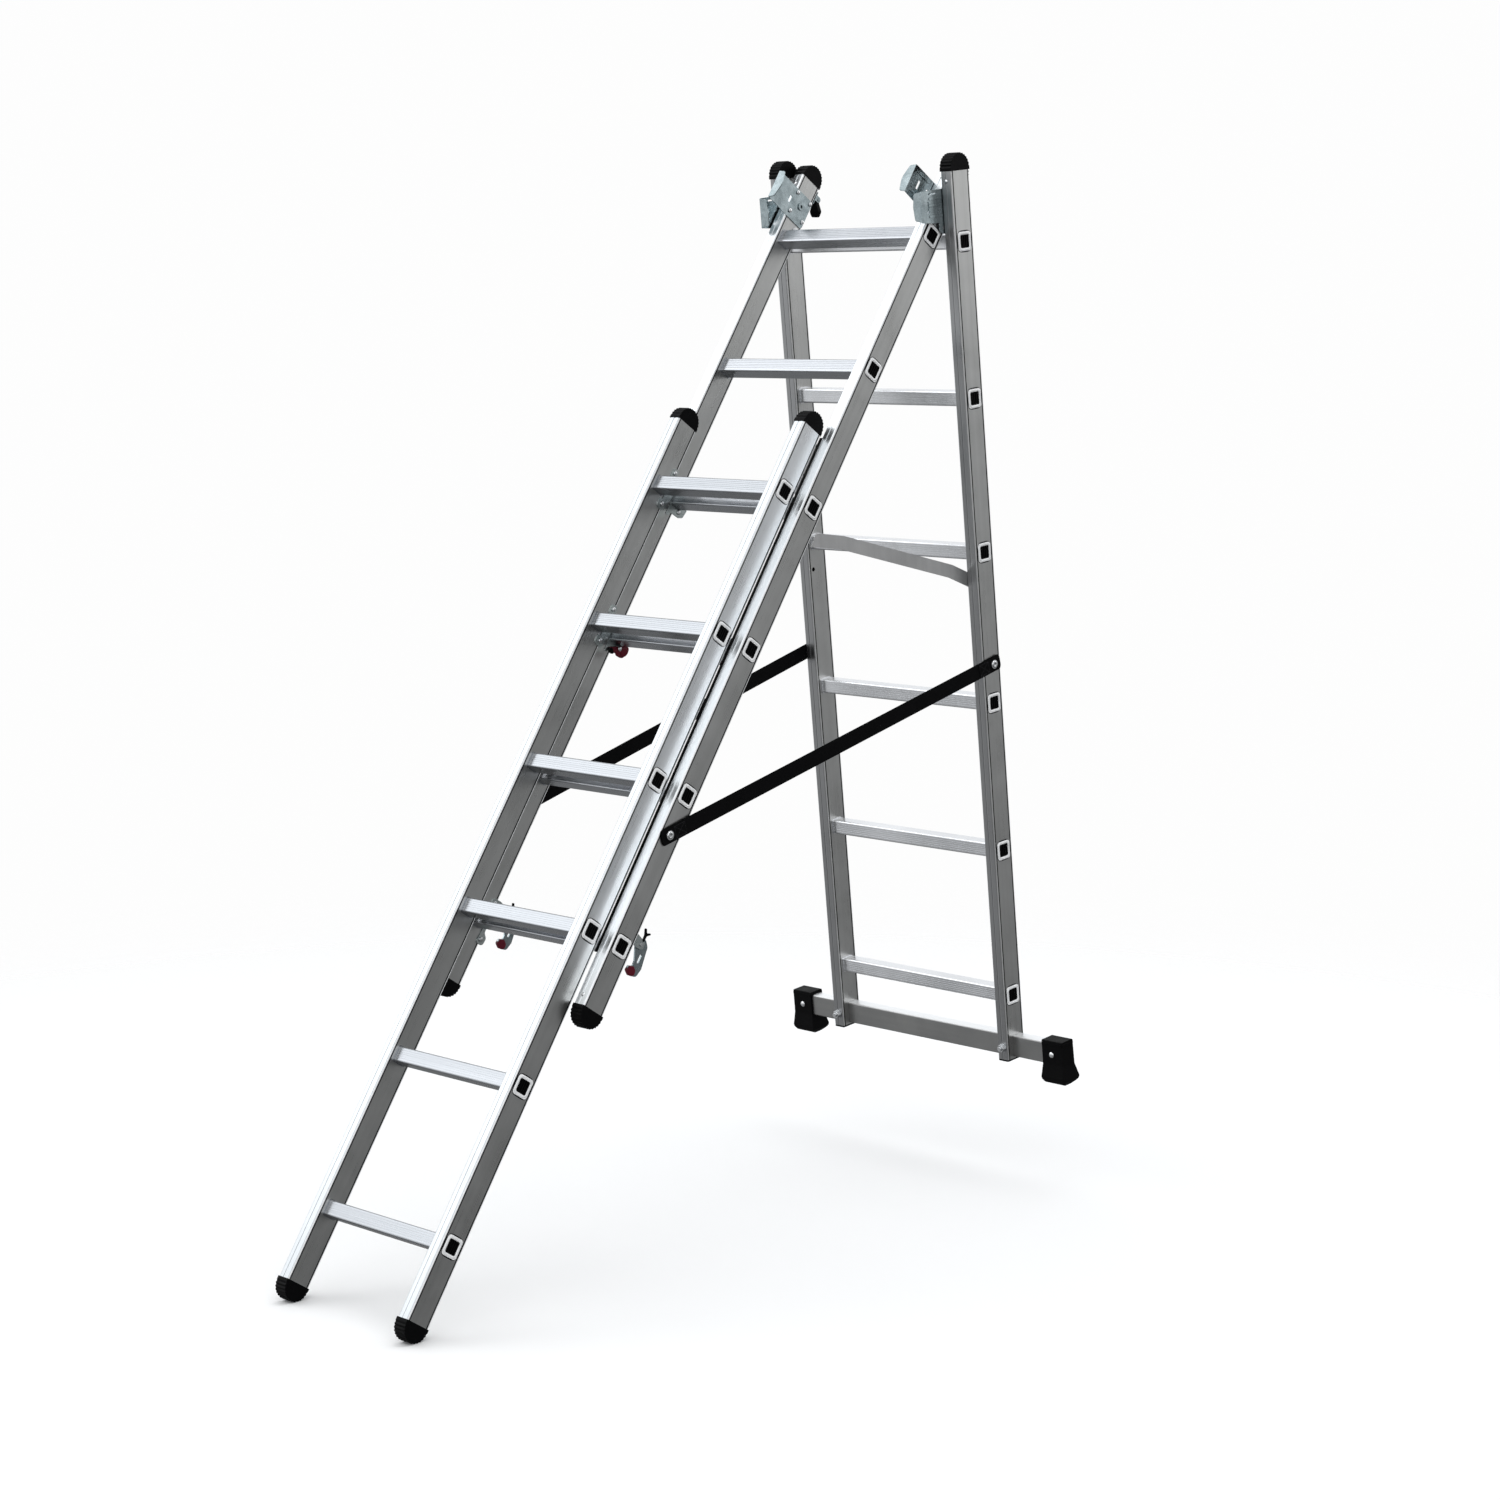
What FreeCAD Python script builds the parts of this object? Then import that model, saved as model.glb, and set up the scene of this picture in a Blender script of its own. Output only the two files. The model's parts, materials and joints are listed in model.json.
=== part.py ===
import FreeCAD, Part
import math
import os

# Multi position ladder: three sections of six rungs. Each section is drawn
# upright about its own top rung, x across, y to the rear, z up, and is then
# leaned into place. Lengths are millimetres.

# ladder proportions
RUNGS = 6
PITCH = 280.0
REAR_HALF = 221.0
MIDDLE_HALF = 191.0
FRONT_HALF = 165.0
REAR_LEAN = 6.56
MIDDLE_LEAN = 33.19
REAR_TOP_RUNG = (53.9, -8.9)
FRONT_STEP = 52.2
FRONT_DROP = 2 * PITCH

# stile section
STILE_W = 24.0
STILE_D = 50.0
STILE_WALL = 1.6
STILE_R = 3.0
BEAD_INSET = 4.5
BEAD_W = 1.8
BEAD_DEPTH = 0.7
FRONT_GROOVE = 3.0
REAR_TOP = 124.6
MIDDLE_TOP = 129.0
FRONT_TOP = 126.4
REAR_END = -1523.0
MIDDLE_END = -1517.2
FRONT_END = -1532.5

# rungs
RUNG = 27.0
RUNG_R = 3.2
RUNG_WALL = 1.6
RUNG_CLEAR = 0.1
RIB_PITCH = 3.6
RIB_W = 1.1
RIB_DEPTH = 0.4
RIBS = 5
FLARE = 34.5
FLARE_R = 6.0
FLARE_T = 1.0
COLLAR = 30.5
COLLAR_R = 4.5
COLLAR_T = 1.2
PLUG_CLEAR = 0.1
PLUG_IN = 11.0
PLUG_RIB = 1.8

# end caps
CAP_R = 25.8
CAP_SKIRT = 5.5
CAP_TOOTH = 1.5
CAP_TEETH = 13
CAP_PROUD = 0.8
SPIGOT = 16.0
SPIGOT_CLEAR = 0.2
END_PLUG = 3.0

# stabiliser bar and boots
BAR_HALF = 330.0
BAR_FRONT = -8.0
BAR_REAR = 17.0
BAR_MID = -1499.5
BAR_H = 41.0
BAR_WALL = 2.0
SLOT_CLEAR = 0.2
BOLT_X = 210.0
BOLT_R = 4.0
BOLT_NOSE = -37.0
NUT_AF = 13.0
BOOT_IN = 294.0
BOOT_OUT = 341.0
BOOT_TOP = -1473.0
BOOT_SOLE = -1559.0
BOOT_FLARE = 3.5
BOOT_FRONT = -12.0
BOOT_RIVET_X = 316.5

# fold hinge, given about the top rungs of the two sections it joins
PIN_MIDDLE = (13.7, 26.7)
PIN_REAR = (-24.9, 26.8)
PIN_R = 4.0
FIT = 0.05
EAR_R = 11.0
REAR_PLATE_T = 2.5
MIDDLE_PLATE_T = 1.6
PLATE_Z = (36.0, 96.0)

# stay bar centre line about the rear top rung
STAY_PIVOT = (-12.5, -612.5)
STAY_BENDS = ((-67.2, -585.3), (-347.6, -486.7), (-419.3, -470.3))
STAY_W = 24.0
STAY_X = (193.8, 196.6)
STAY_PIN_R = 4.0

# webbing straps
STRAP_W = 28.5
STRAP_T = 1.2
STRAP_REAR = (2.0, -768.0)
STRAP_MIDDLE = (-4.0, -1195.4)
STRAP_OFF = 2.4
STRAP_TAIL = 19.0
STRAP_BOLT_R = 4.0

# lock levers
LEVER_PIVOT = (34.0, 112.0)
LEVER_X = 174.0
LEVER_HALF = 11.5
LEVER_PIN_R = 2.5
LEVER_FIT = 0.08

# hooks and catches
HOOK_PIVOT = (62.0, 29.0)
HOOK_T = 3.0
KEEPER_X = (139.0, 141.0)
KEEPER_RUNGS = (2, 3)
CATCH_RUNG = 3
CATCH_PIVOT = (11.7, -18.4)
CATCH_T = 5.5
RIVET_R = 2.4
RIVET_HEAD_R = 4.0
RIVET_HEAD_T = 1.8

V = FreeCAD.Vector
NODES = {}


def at(plane, a, b, level):
    """Point of a drawing plane at a level along its normal."""
    if plane == "yz":
        return V(level, a, b)
    if plane == "xz":
        return V(a, level, b)
    return V(a, b, level)


def outline(points, plane, level):
    """Closed wire through corners (a, b, radius)."""
    turns = []
    count = len(points)
    for i in range(count):
        a, b, r = points[i]
        here = V(a, b, 0)
        if r == 0:
            turns.append((here, here, here))
            continue
        back = V(points[i - 1][0], points[i - 1][1], 0) - here
        ahead = V(points[(i + 1) % count][0], points[(i + 1) % count][1], 0) - here
        half = back.getAngle(ahead) / 2
        back.normalize()
        ahead.normalize()
        reach = r / math.tan(half)
        middle = back + ahead
        middle.normalize()
        crest = here + middle * (r / math.sin(half) - r)
        turns.append((here + back * reach, crest, here + ahead * reach))
    edges = []
    for i in range(count):
        start, crest, end = [at(plane, p.x, p.y, level) for p in turns[i]]
        following = turns[(i + 1) % count][0]
        following = at(plane, following.x, following.y, level)
        if points[i][2] > 0:
            edges.append(Part.Arc(start, crest, end).toShape())
        if (following - end).Length > 1e-6:
            edges.append(Part.makeLine(end, following))
    return Part.Wire(edges)


def slab(plane, points, low, high, hole=None):
    """Prism of a rounded outline between two levels, open inside if asked."""
    wires = [outline(points, plane, low)]
    if hole:
        wires.append(outline(hole, plane, low))
    face = Part.Face(wires[0])
    if hole:
        face = face.cut(Part.Face(wires[1])).Faces[0]
    return face.extrude(at(plane, 0, 0, high - low)).Solids[0]


def block(x, y, z):
    """Box between pairs of limits."""
    return Part.makeBox(x[1] - x[0], y[1] - y[0], z[1] - z[0], V(x[0], y[0], z[0]))


def rod(plane, a, b, radius, low, high):
    """Round bar along the normal of a drawing plane."""
    return Part.makeCylinder(radius, high - low, at(plane, a, b, low), at(plane, 0, 0, 1))


def rect(half_a, half_b, radius, a=0.0, b=0.0):
    """Rounded rectangle corners."""
    return [
        (a - half_a, b - half_b, radius),
        (a + half_a, b - half_b, radius),
        (a + half_a, b + half_b, radius),
        (a - half_a, b + half_b, radius),
    ]


def hexagon(flats, a, b):
    """Corners of a nut."""
    radius = flats / math.sqrt(3)
    return [
        (a + radius * math.cos(k * math.pi / 3), b + radius * math.sin(k * math.pi / 3), 0)
        for k in range(6)
    ]


def notched(start, end, marks, width, depth):
    """Edge from start to end with shallow notches cut into its left side."""
    along = V(end[0] - start[0], end[1] - start[1], 0)
    along.normalize()
    inward = V(-along.y, along.x, 0)
    origin = V(start[0], start[1], 0)
    points = []
    for mark in marks:
        for step, sink in ((-width / 2, 0), (-width / 2, depth), (width / 2, depth), (width / 2, 0)):
            p = origin + along * (mark + step) + inward * sink
            points.append((p.x, p.y, 0))
    return points


def mirror(shape):
    """Left hand copy of a right hand shape."""
    return shape.mirror(V(0, 0, 0), V(1, 0, 0))


def both(shapes):
    """Right hand shapes with their left hand copies."""
    return list(shapes) + [mirror(s) for s in shapes]


def lean(angle, y, z):
    """Placement of a section leaned about x with its top rung at y, z."""
    return FreeCAD.Placement(V(0, y, z), FreeCAD.Rotation(V(1, 0, 0), angle))


MIDDLE = lean(-MIDDLE_LEAN, 0, 0)
FRONT = MIDDLE.multiply(FreeCAD.Placement(V(0, -FRONT_STEP, -FRONT_DROP), FreeCAD.Rotation()))
REAR = lean(REAR_LEAN, REAR_TOP_RUNG[0], REAR_TOP_RUNG[1])


def add(name, where, shapes):
    """Store a node leaned into its section."""
    shapes = shapes if isinstance(shapes, list) else [shapes]
    placed = []
    for shape in shapes:
        for solid in shape.Solids:
            solid = solid.copy()
            solid.Placement = where.multiply(solid.Placement)
            placed.append(solid)
    NODES[name] = placed


def stile_outline(half):
    """Stile section with bead lines on the side faces and a front groove."""
    x0, x1 = half - STILE_W, half
    y0, y1 = -STILE_D / 2, STILE_D / 2
    sides = (BEAD_INSET, STILE_D - BEAD_INSET)
    points = [(x0, y0, STILE_R)]
    points += notched((x0, y0), (x1, y0), (STILE_W / 2,), FRONT_GROOVE, BEAD_DEPTH)
    points += [(x1, y0, STILE_R)]
    points += notched((x1, y0), (x1, y1), sides, BEAD_W, BEAD_DEPTH)
    points += [(x1, y1, STILE_R), (x0, y1, STILE_R)]
    points += notched((x0, y1), (x0, y0), sides, BEAD_W, BEAD_DEPTH)
    return points


def stile(half, bottom, top, cuts):
    """Hollow right stile with rung holes and further cuts."""
    inner = rect(STILE_W / 2 - STILE_WALL, STILE_D / 2 - STILE_WALL, 1.5, half - STILE_W / 2, 0)
    body = slab("xy", stile_outline(half), bottom, top, inner)
    opening = RUNG / 2 + RUNG_CLEAR
    tools = list(cuts)
    for k in range(RUNGS):
        square = rect(opening, opening, RUNG_R + RUNG_CLEAR, 0, -k * PITCH)
        tools.append(slab("yz", square, half - STILE_W - 1, half + 1))
    return body.cut(tools)


def rung_outline():
    """Ribbed square tube, ribs on the front and rear faces."""
    h = RUNG / 2
    first = h - RIB_PITCH * (RIBS - 1) / 2
    marks = [first + RIB_PITCH * k for k in range(RIBS)]
    points = [(-h, -h, RUNG_R), (h, -h, RUNG_R)]
    points += notched((h, -h), (h, h), marks, RIB_W, RIB_DEPTH)
    points += [(h, h, RUNG_R), (-h, h, RUNG_R)]
    points += notched((-h, h), (-h, -h), marks, RIB_W, RIB_DEPTH)
    return points


def rung(half):
    """Rung tube with flared ends outside and pressed collars inside the stiles."""
    bore = RUNG / 2 - RUNG_WALL
    hole = rect(bore, bore, RUNG_R - 1)
    tube = slab("yz", rung_outline(), -half, half, hole)
    rings = []
    for side in (-1, 1):
        outer = sorted((side * half, side * (half + FLARE_T)))
        rings.append(slab("yz", rect(FLARE / 2, FLARE / 2, FLARE_R), outer[0], outer[1], hole))
        face = half - STILE_W
        inner = sorted((side * face, side * (face - COLLAR_T)))
        rings.append(slab("yz", rect(COLLAR / 2, COLLAR / 2, COLLAR_R), inner[0], inner[1], hole))
    return tube.fuse(rings).removeSplitter()


def rung_plug(half):
    """Plug in the right end of a rung, ribbed on its face."""
    size = RUNG / 2 - RUNG_WALL - PLUG_CLEAR
    body = slab("yz", rect(size, size, RUNG_R - 1), half - PLUG_IN, half + FLARE_T / 2)
    depth = half + FLARE_T / 2 - PLUG_RIB
    tools = []
    for k in (-1.5, -0.5, 0.5, 1.5):
        middle = k * size / 2.4
        tools.append(block((depth, half + 2), (middle - 1.4, middle + 1.4), (2 - size, size - 2)))
    return body.cut(tools)


def spigot(half, low, high):
    """Block filling the inside of a right stile between two heights."""
    inset = STILE_WALL + SPIGOT_CLEAR
    half_w = STILE_W / 2 - inset
    half_d = STILE_D / 2 - inset
    return slab("xy", rect(half_w, half_d, 2.0, half - STILE_W / 2, 0), low, high)


def cap(half, end, up, proud):
    """Skirted cap with a toothed half round crown and a spigot in the stile."""
    points = [(CAP_R, end, 0)]
    for k in range(2 * CAP_TEETH + 1):
        angle = math.pi * k / (2 * CAP_TEETH)
        radius = CAP_R if k % 2 == 0 else CAP_R - CAP_TOOTH
        rise = CAP_SKIRT + radius * math.sin(angle)
        points.append((radius * math.cos(angle), end + up * rise, 0))
    points.append((-CAP_R, end, 0))
    crown = slab("yz", points, half - STILE_W - proud, half + proud)
    z = sorted((end, end - up * SPIGOT))
    return crown.fuse(spigot(half, z[0], z[1])).removeSplitter()


def rivet(a, b, head_side, x, grip, radius=RIVET_R, head=RIVET_HEAD_R, thick=RIVET_HEAD_T):
    """Rivet along x: head on one side of x, shank through the grip."""
    shank = sorted((x, x - head_side * grip))
    cover = sorted((x, x + head_side * thick))
    body = rod("yz", a, b, radius, shank[0], shank[1])
    return body.fuse(rod("yz", a, b, head, cover[0], cover[1])).removeSplitter()


def rung_set(prefix, where, half):
    """Six rungs and their plugs."""
    bar = rung(half)
    plug = rung_plug(half)
    plugs = []
    for k in range(RUNGS):
        down = V(0, 0, -k * PITCH)
        add("%s_rung_%d" % (prefix, k + 1), where, bar.translated(down))
        plugs += both([plug.translated(down)])
    add(prefix + "_rung_plugs", where, plugs)


def pair(name, where, shape):
    """Right and left hand nodes of one shape."""
    add(name + "_right", where, shape)
    add(name + "_left", where, mirror(shape))


# rivet positions on the stiles, (y, z)
REAR_PLATE_RIVETS = [(y, z) for y in (-16.0, 14.0) for z in (50.0, 86.0)]
MIDDLE_PLATE_RIVETS = [(y, z) for y in (-20.3, 18.3) for z in (51.0, 90.8)]
HOOK_RIVETS = [(18.0, 37.0), (22.0, -30.0)]
CATCH_RIVETS = [(19.0, 36.0), (20.0, -26.5)]
HOOK_BASE = -(RUNGS - 1) * PITCH

rear_face = REAR_HALF - STILE_W
middle_face = MIDDLE_HALF - STILE_W
front_face = FRONT_HALF - STILE_W
bar_z = (BAR_MID - BAR_H / 2, BAR_MID + BAR_H / 2)

# rear section stiles, slotted for the stabiliser bar
rear_cuts = [
    block(
        (rear_face - 1, REAR_HALF + 1),
        (BAR_FRONT - SLOT_CLEAR, BAR_REAR + SLOT_CLEAR),
        (bar_z[0] - SLOT_CLEAR, bar_z[1] + SLOT_CLEAR),
    )
]
rear_cuts.append(rod("xz", BOLT_X, BAR_MID, BOLT_R + FIT, -30, 30))
for y, z in REAR_PLATE_RIVETS:
    rear_cuts.append(rod("yz", y, z, RIVET_R + FIT, rear_face - 1, rear_face + 5))
for y, z in (STAY_PIVOT,):
    rear_cuts.append(rod("yz", y, z, STAY_PIN_R + FIT, rear_face - 1, rear_face + 5))
for y, z in (STRAP_REAR,):
    rear_cuts.append(rod("yz", y, z, STRAP_BOLT_R + FIT, REAR_HALF - 5, REAR_HALF + 1))
pair("rear_stile", REAR, stile(REAR_HALF, REAR_END, REAR_TOP, rear_cuts))
rung_set("rear", REAR, REAR_HALF)
add("rear_top_caps", REAR, both([cap(REAR_HALF, REAR_TOP, 1, CAP_PROUD)]))

# rear end plugs
foot = slab(
    "xy",
    rect(STILE_W / 2, STILE_D / 2, STILE_R, REAR_HALF - STILE_W / 2, 0),
    REAR_END - END_PLUG,
    REAR_END,
)
foot = foot.fuse(spigot(REAR_HALF, REAR_END - 0.5, REAR_END + 2.0))
add("rear_foot_plugs", REAR, both([foot.removeSplitter()]))

# stabiliser bar
bar_y = (BAR_FRONT + BAR_REAR) / 2
bar_half = (BAR_REAR - BAR_FRONT) / 2
bar = slab(
    "yz",
    rect(bar_half, BAR_H / 2, 2.5, bar_y, BAR_MID),
    -BAR_HALF,
    BAR_HALF,
    rect(bar_half - BAR_WALL, BAR_H / 2 - BAR_WALL, 1.0, bar_y, BAR_MID),
)
holes = []
for side in (-1, 1):
    holes.append(rod("xz", side * BOLT_X, BAR_MID, BOLT_R + FIT, -30, 30))
    holes.append(rod("xz", side * BOOT_RIVET_X, BAR_MID, RIVET_R + FIT, -30, 0))
add("stabiliser_bar", REAR, bar.cut(holes))

# stabiliser bolts, nut and washer on the front, hexagon head on the rear
bolt = rod("xz", BOLT_X, BAR_MID, BOLT_R, BOLT_NOSE, STILE_D / 2)
bolt = bolt.fuse(
    [
        rod("xz", BOLT_X, BAR_MID, 8.5, -STILE_D / 2 - 1.6, -STILE_D / 2),
        slab("xz", hexagon(NUT_AF, BOLT_X, BAR_MID), -STILE_D / 2 - 8.1, -STILE_D / 2 - 1.6),
        slab("xz", hexagon(NUT_AF, BOLT_X, BAR_MID), STILE_D / 2, STILE_D / 2 + 5.3),
    ]
)
add("stabiliser_bolts", REAR, both([bolt.removeSplitter()]))

# rubber boots: side profile crossed with front profile, lip, tread and socket
side_view = [
    (BOOT_FRONT, BOOT_TOP, 2.0),
    (BOOT_FRONT, -1519.0, 6.0),
    (BOOT_FRONT - BOOT_FLARE, -1545.0, 3.0),
    (BOOT_FRONT + 2, -1556.0, 4.0),
    (-3.0, BOOT_SOLE, 6.0),
    (13.0, BOOT_SOLE, 6.0),
    (27.0, -1555.0, 5.0),
    (31.5, -1546.0, 3.0),
    (23.0, -1521.0, 6.0),
    (21.0, BOOT_TOP, 2.0),
]
front_view = [
    (BOOT_IN, BOOT_TOP + 1, 0),
    (BOOT_IN, -1520.0, 6.0),
    (BOOT_IN - BOOT_FLARE, -1550.0, 2.0),
    (BOOT_IN + 5, BOOT_SOLE - 1, 2.0),
    (BOOT_OUT - 5, BOOT_SOLE - 1, 2.0),
    (BOOT_OUT + BOOT_FLARE, -1550.0, 2.0),
    (BOOT_OUT, -1520.0, 6.0),
    (BOOT_OUT, BOOT_TOP + 1, 0),
]
boot = slab("yz", side_view, BOOT_IN - 6, BOOT_OUT + 6)
boot = boot.common(slab("xz", front_view, BOOT_FRONT - 8, 40))
lip = slab(
    "xy",
    rect(
        (BOOT_OUT - BOOT_IN) / 2 + 1.2,
        (21.0 - BOOT_FRONT) / 2 + 1.2,
        3.0,
        (BOOT_IN + BOOT_OUT) / 2,
        (BOOT_FRONT + 21.0) / 2,
    ),
    BOOT_TOP - 8.0,
    BOOT_TOP - 4.0,
)
boot = boot.fuse(lip)
tread = []
for k in range(5):
    x = BOOT_IN + 7.5 + 8.0 * k
    tread.append(block((x - 1.2, x + 1.2), (-30, 40), (BOOT_SOLE - 2, BOOT_SOLE + 2.2)))
socket = slab(
    "yz",
    rect(bar_half + 0.1, BAR_H / 2 + 0.1, 2.5, bar_y, BAR_MID),
    BOOT_IN - 6,
    BAR_HALF + 0.1,
)
rivet_hole = rod("xz", BOOT_RIVET_X, BAR_MID, RIVET_R + FIT, -30, 0)
pair("boot", REAR, boot.cut(tread + [socket, rivet_hole]).removeSplitter())

# boot rivets
stud = rod("xz", BOOT_RIVET_X, BAR_MID, RIVET_R, BOOT_FRONT, BAR_FRONT + BAR_WALL + 1.5)
stud = stud.fuse(rod("xz", BOOT_RIVET_X, BAR_MID, 5.5, BOOT_FRONT - 1.6, BOOT_FRONT))
add("boot_rivets", REAR, both([stud.removeSplitter()]))

# rear hinge plate: cheek on the inner face, front flange, pressed ribs, slots
# and pin ear
plate_x = (rear_face - REAR_PLATE_T, rear_face)
cheek = slab(
    "yz",
    [
        (22.0, PLATE_Z[0], 6.0),
        (22.0, PLATE_Z[1], 9.0),
        (-81.5, PLATE_Z[1] - 2, 2.0),
        (-81.5, PLATE_Z[0] + 3, 2.0),
        (-48.0, PLATE_Z[0], 4.0),
    ],
    plate_x[0],
    plate_x[1],
)
flange = slab(
    "xz",
    [
        (180.0, 43.0, 5.0),
        (rear_face, 40.0, 1.0),
        (rear_face, 93.0, 1.0),
        (180.0, 91.0, 5.0),
        (177.0, 67.0, 12.0),
    ],
    -81.5,
    -79.0,
)
ear = rod("yz", PIN_REAR[0], PIN_REAR[1], EAR_R, plate_x[0], plate_x[1])
neck = block(plate_x, (PIN_REAR[0] - EAR_R, PIN_REAR[0] + EAR_R), (PIN_REAR[1], 45.0))
ribs = []
for z in (80.0, 68.0, 49.0):
    ribs.append(
        slab("yz", rect(17.5, 2.4, 2.3, -44.5, z), plate_x[0] - 0.9, plate_x[1] + 0.9)
    )
ribs.append(slab("xz", rect(6.0, 2.4, 2.3, 187.0, 68.0), -80.0, -78.2))
cheek = cheek.fuse([flange, ear, neck] + ribs)
holes = [
    rod("yz", PIN_REAR[0], PIN_REAR[1], PIN_R + FIT, plate_x[0] - 2, plate_x[1] + 2),
    slab("yz", rect(1.6, 10.0, 1.5, -63.5, 65.0), plate_x[0] - 2, plate_x[1] + 2),
    rod("yz", -63.5, 56.5, 3.2, plate_x[0] - 2, plate_x[1] + 2),
    slab("yz", rect(11.0, 1.4, 1.3, -51.0, 88.0), plate_x[0] - 2, plate_x[1] + 2),
]
for y, z in REAR_PLATE_RIVETS:
    holes.append(rod("yz", y, z, RIVET_R + FIT, plate_x[0] - 2, plate_x[1] + 2))
pair("rear_hinge_plate", REAR, cheek.cut(holes).removeSplitter())

# rear rivets and the stay pivot
pins = []
for y, z in REAR_PLATE_RIVETS:
    pins.append(rivet(y, z, -1, plate_x[0], REAR_PLATE_T + STILE_WALL + 1.5))
stay_head = STAY_X[0] - 0.4
pins = both(pins)
pins.append(
    rivet(STAY_PIVOT[0], STAY_PIVOT[1], -1, stay_head, rear_face + 3 - stay_head, STAY_PIN_R, 8.0)
)
add("rear_rivets", REAR, pins)

# bowed stay bar, free end cut along the line of the middle section
centre = [V(p[0], p[1], 0) for p in (STAY_PIVOT,) + STAY_BENDS]
runs = []
for start, end in zip(centre[:-1], centre[1:]):
    run = end - start
    run.normalize()
    runs.append(run)
upper = []
lower = []
for k in range(len(centre)):
    before = runs[max(k - 1, 0)]
    after = runs[min(k, len(runs) - 1)]
    normal = V(-before.y - after.y, before.x + after.x, 0)
    normal.normalize()
    reach = STAY_W / 2 / normal.dot(V(-after.y, after.x, 0))
    shift = V(0, 0, 0)
    if k == len(centre) - 1:
        opening = math.radians(REAR_LEAN + MIDDLE_LEAN)
        cut_line = V(math.sin(opening), math.cos(opening), 0)
        skew = cut_line.dot(after) / cut_line.dot(normal)
        shift = after * (skew * STAY_W / 2)
    radius = 40.0 if 0 < k < len(centre) - 1 else 0
    high = centre[k] + normal * reach + shift
    low = centre[k] - normal * reach - shift
    upper.append((high.x, high.y, radius))
    lower.append((low.x, low.y, radius))
stay = slab("yz", upper + lower[::-1], STAY_X[0], STAY_X[1])
stay = stay.fuse(rod("yz", STAY_PIVOT[0], STAY_PIVOT[1], STAY_W / 2, STAY_X[0], STAY_X[1]))
bore = rod("yz", STAY_PIVOT[0], STAY_PIVOT[1], STAY_PIN_R + FIT, STAY_X[0] - 1, STAY_X[1] + 1)
add("stay_bar", REAR, stay.cut(bore).removeSplitter())

# strap bolts, domed outside
rear_bolt = rod("yz", STRAP_REAR[0], STRAP_REAR[1], STRAP_BOLT_R, REAR_HALF - 4, REAR_HALF + 5)
rear_bolt = rear_bolt.fuse(
    rod("yz", STRAP_REAR[0], STRAP_REAR[1], 8.0, REAR_HALF + 3.6, REAR_HALF + 6.0)
)
add("rear_strap_bolts", REAR, both([rear_bolt.removeSplitter()]))
middle_bolt = rod(
    "yz", STRAP_MIDDLE[0], STRAP_MIDDLE[1], STRAP_BOLT_R, MIDDLE_HALF - 4, MIDDLE_HALF + 4
)
middle_bolt = middle_bolt.fuse(
    rod("yz", STRAP_MIDDLE[0], STRAP_MIDDLE[1], 8.0, MIDDLE_HALF + 3.4, MIDDLE_HALF + 5.4)
)
add("middle_strap_bolts", MIDDLE, both([middle_bolt.removeSplitter()]))

# middle section stiles
middle_cuts = [
    rod("yz", PIN_MIDDLE[0], PIN_MIDDLE[1], PIN_R + FIT, middle_face - 1, MIDDLE_HALF + 1),
    rod(
        "yz",
        STRAP_MIDDLE[0],
        STRAP_MIDDLE[1],
        STRAP_BOLT_R + FIT,
        MIDDLE_HALF - 5,
        MIDDLE_HALF + 1,
    ),
]
for y, z in MIDDLE_PLATE_RIVETS:
    middle_cuts.append(rod("yz", y, z, RIVET_R + FIT, middle_face - 1, middle_face + 5))
for y, z in HOOK_RIVETS:
    middle_cuts.append(
        rod("yz", y, HOOK_BASE + z, RIVET_R + FIT, middle_face - 1, middle_face + 5)
    )
pair("middle_stile", MIDDLE, stile(MIDDLE_HALF, MIDDLE_END, MIDDLE_TOP, middle_cuts))
rung_set("middle", MIDDLE, MIDDLE_HALF)
add("middle_top_caps", MIDDLE, both([cap(MIDDLE_HALF, MIDDLE_TOP, 1, CAP_PROUD)]))
add("middle_bottom_caps", MIDDLE, both([cap(MIDDLE_HALF, MIDDLE_END, -1, CAP_PROUD)]))

# middle hinge plate: cheek, convex front flange, round boss, adjusting slot and
# a pressed frame on the outside, with a second slot in the right hand plate
plate_x = (middle_face - MIDDLE_PLATE_T, middle_face)
cheek = slab(
    "yz",
    [
        (23.5, 38.5, 5.0),
        (23.5, 97.0, 6.0),
        (-81.0, 97.0, 3.0),
        (-81.0, 40.0, 3.0),
        (-27.0, 38.5, 3.0),
    ],
    plate_x[0],
    plate_x[1],
)
flange = slab(
    "xz",
    [
        (middle_face, 40.5, 0),
        (middle_face, 96.5, 0),
        (153.0, 95.0, 4.0),
        (145.5, 69.0, 30.0),
        (153.0, 42.0, 4.0),
    ],
    -81.0,
    -79.2,
)
boss = rod("yz", 0, 72.7, 7.0, plate_x[0] - 2.2, plate_x[0])
ribs = []
for z in (50.0, 88.0):
    ribs.append(slab("yz", rect(18.0, 1.8, 1.7, -54.0, z), plate_x[0] + 0.4, plate_x[1] + 1.2))
for y in (-71.0, -44.0):
    ribs.append(slab("yz", rect(1.8, 13.0, 1.7, y, 69.0), plate_x[0] + 0.4, plate_x[1] + 1.2))
cheek = cheek.fuse([flange, boss] + ribs)
holes = [
    slab("yz", rect(3.0, 7.0, 2.9, -31.5, 69.5), plate_x[0] - 3, plate_x[1] + 2),
    rod("yz", 0, 72.7, 3.0, plate_x[0] - 3, plate_x[0]),
]
for y, z in MIDDLE_PLATE_RIVETS:
    holes.append(rod("yz", y, z, RIVET_R + FIT, plate_x[0] - 2, plate_x[1] + 2))
cheek = cheek.cut(holes).removeSplitter()
window = slab("yz", rect(2.6, 9.0, 2.5, -57.5, 69.0), plate_x[0] - 3, plate_x[1] + 3)
add("middle_hinge_plate_left", MIDDLE, mirror(cheek))
add("middle_hinge_plate_right", MIDDLE, cheek.cut(window))

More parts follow.
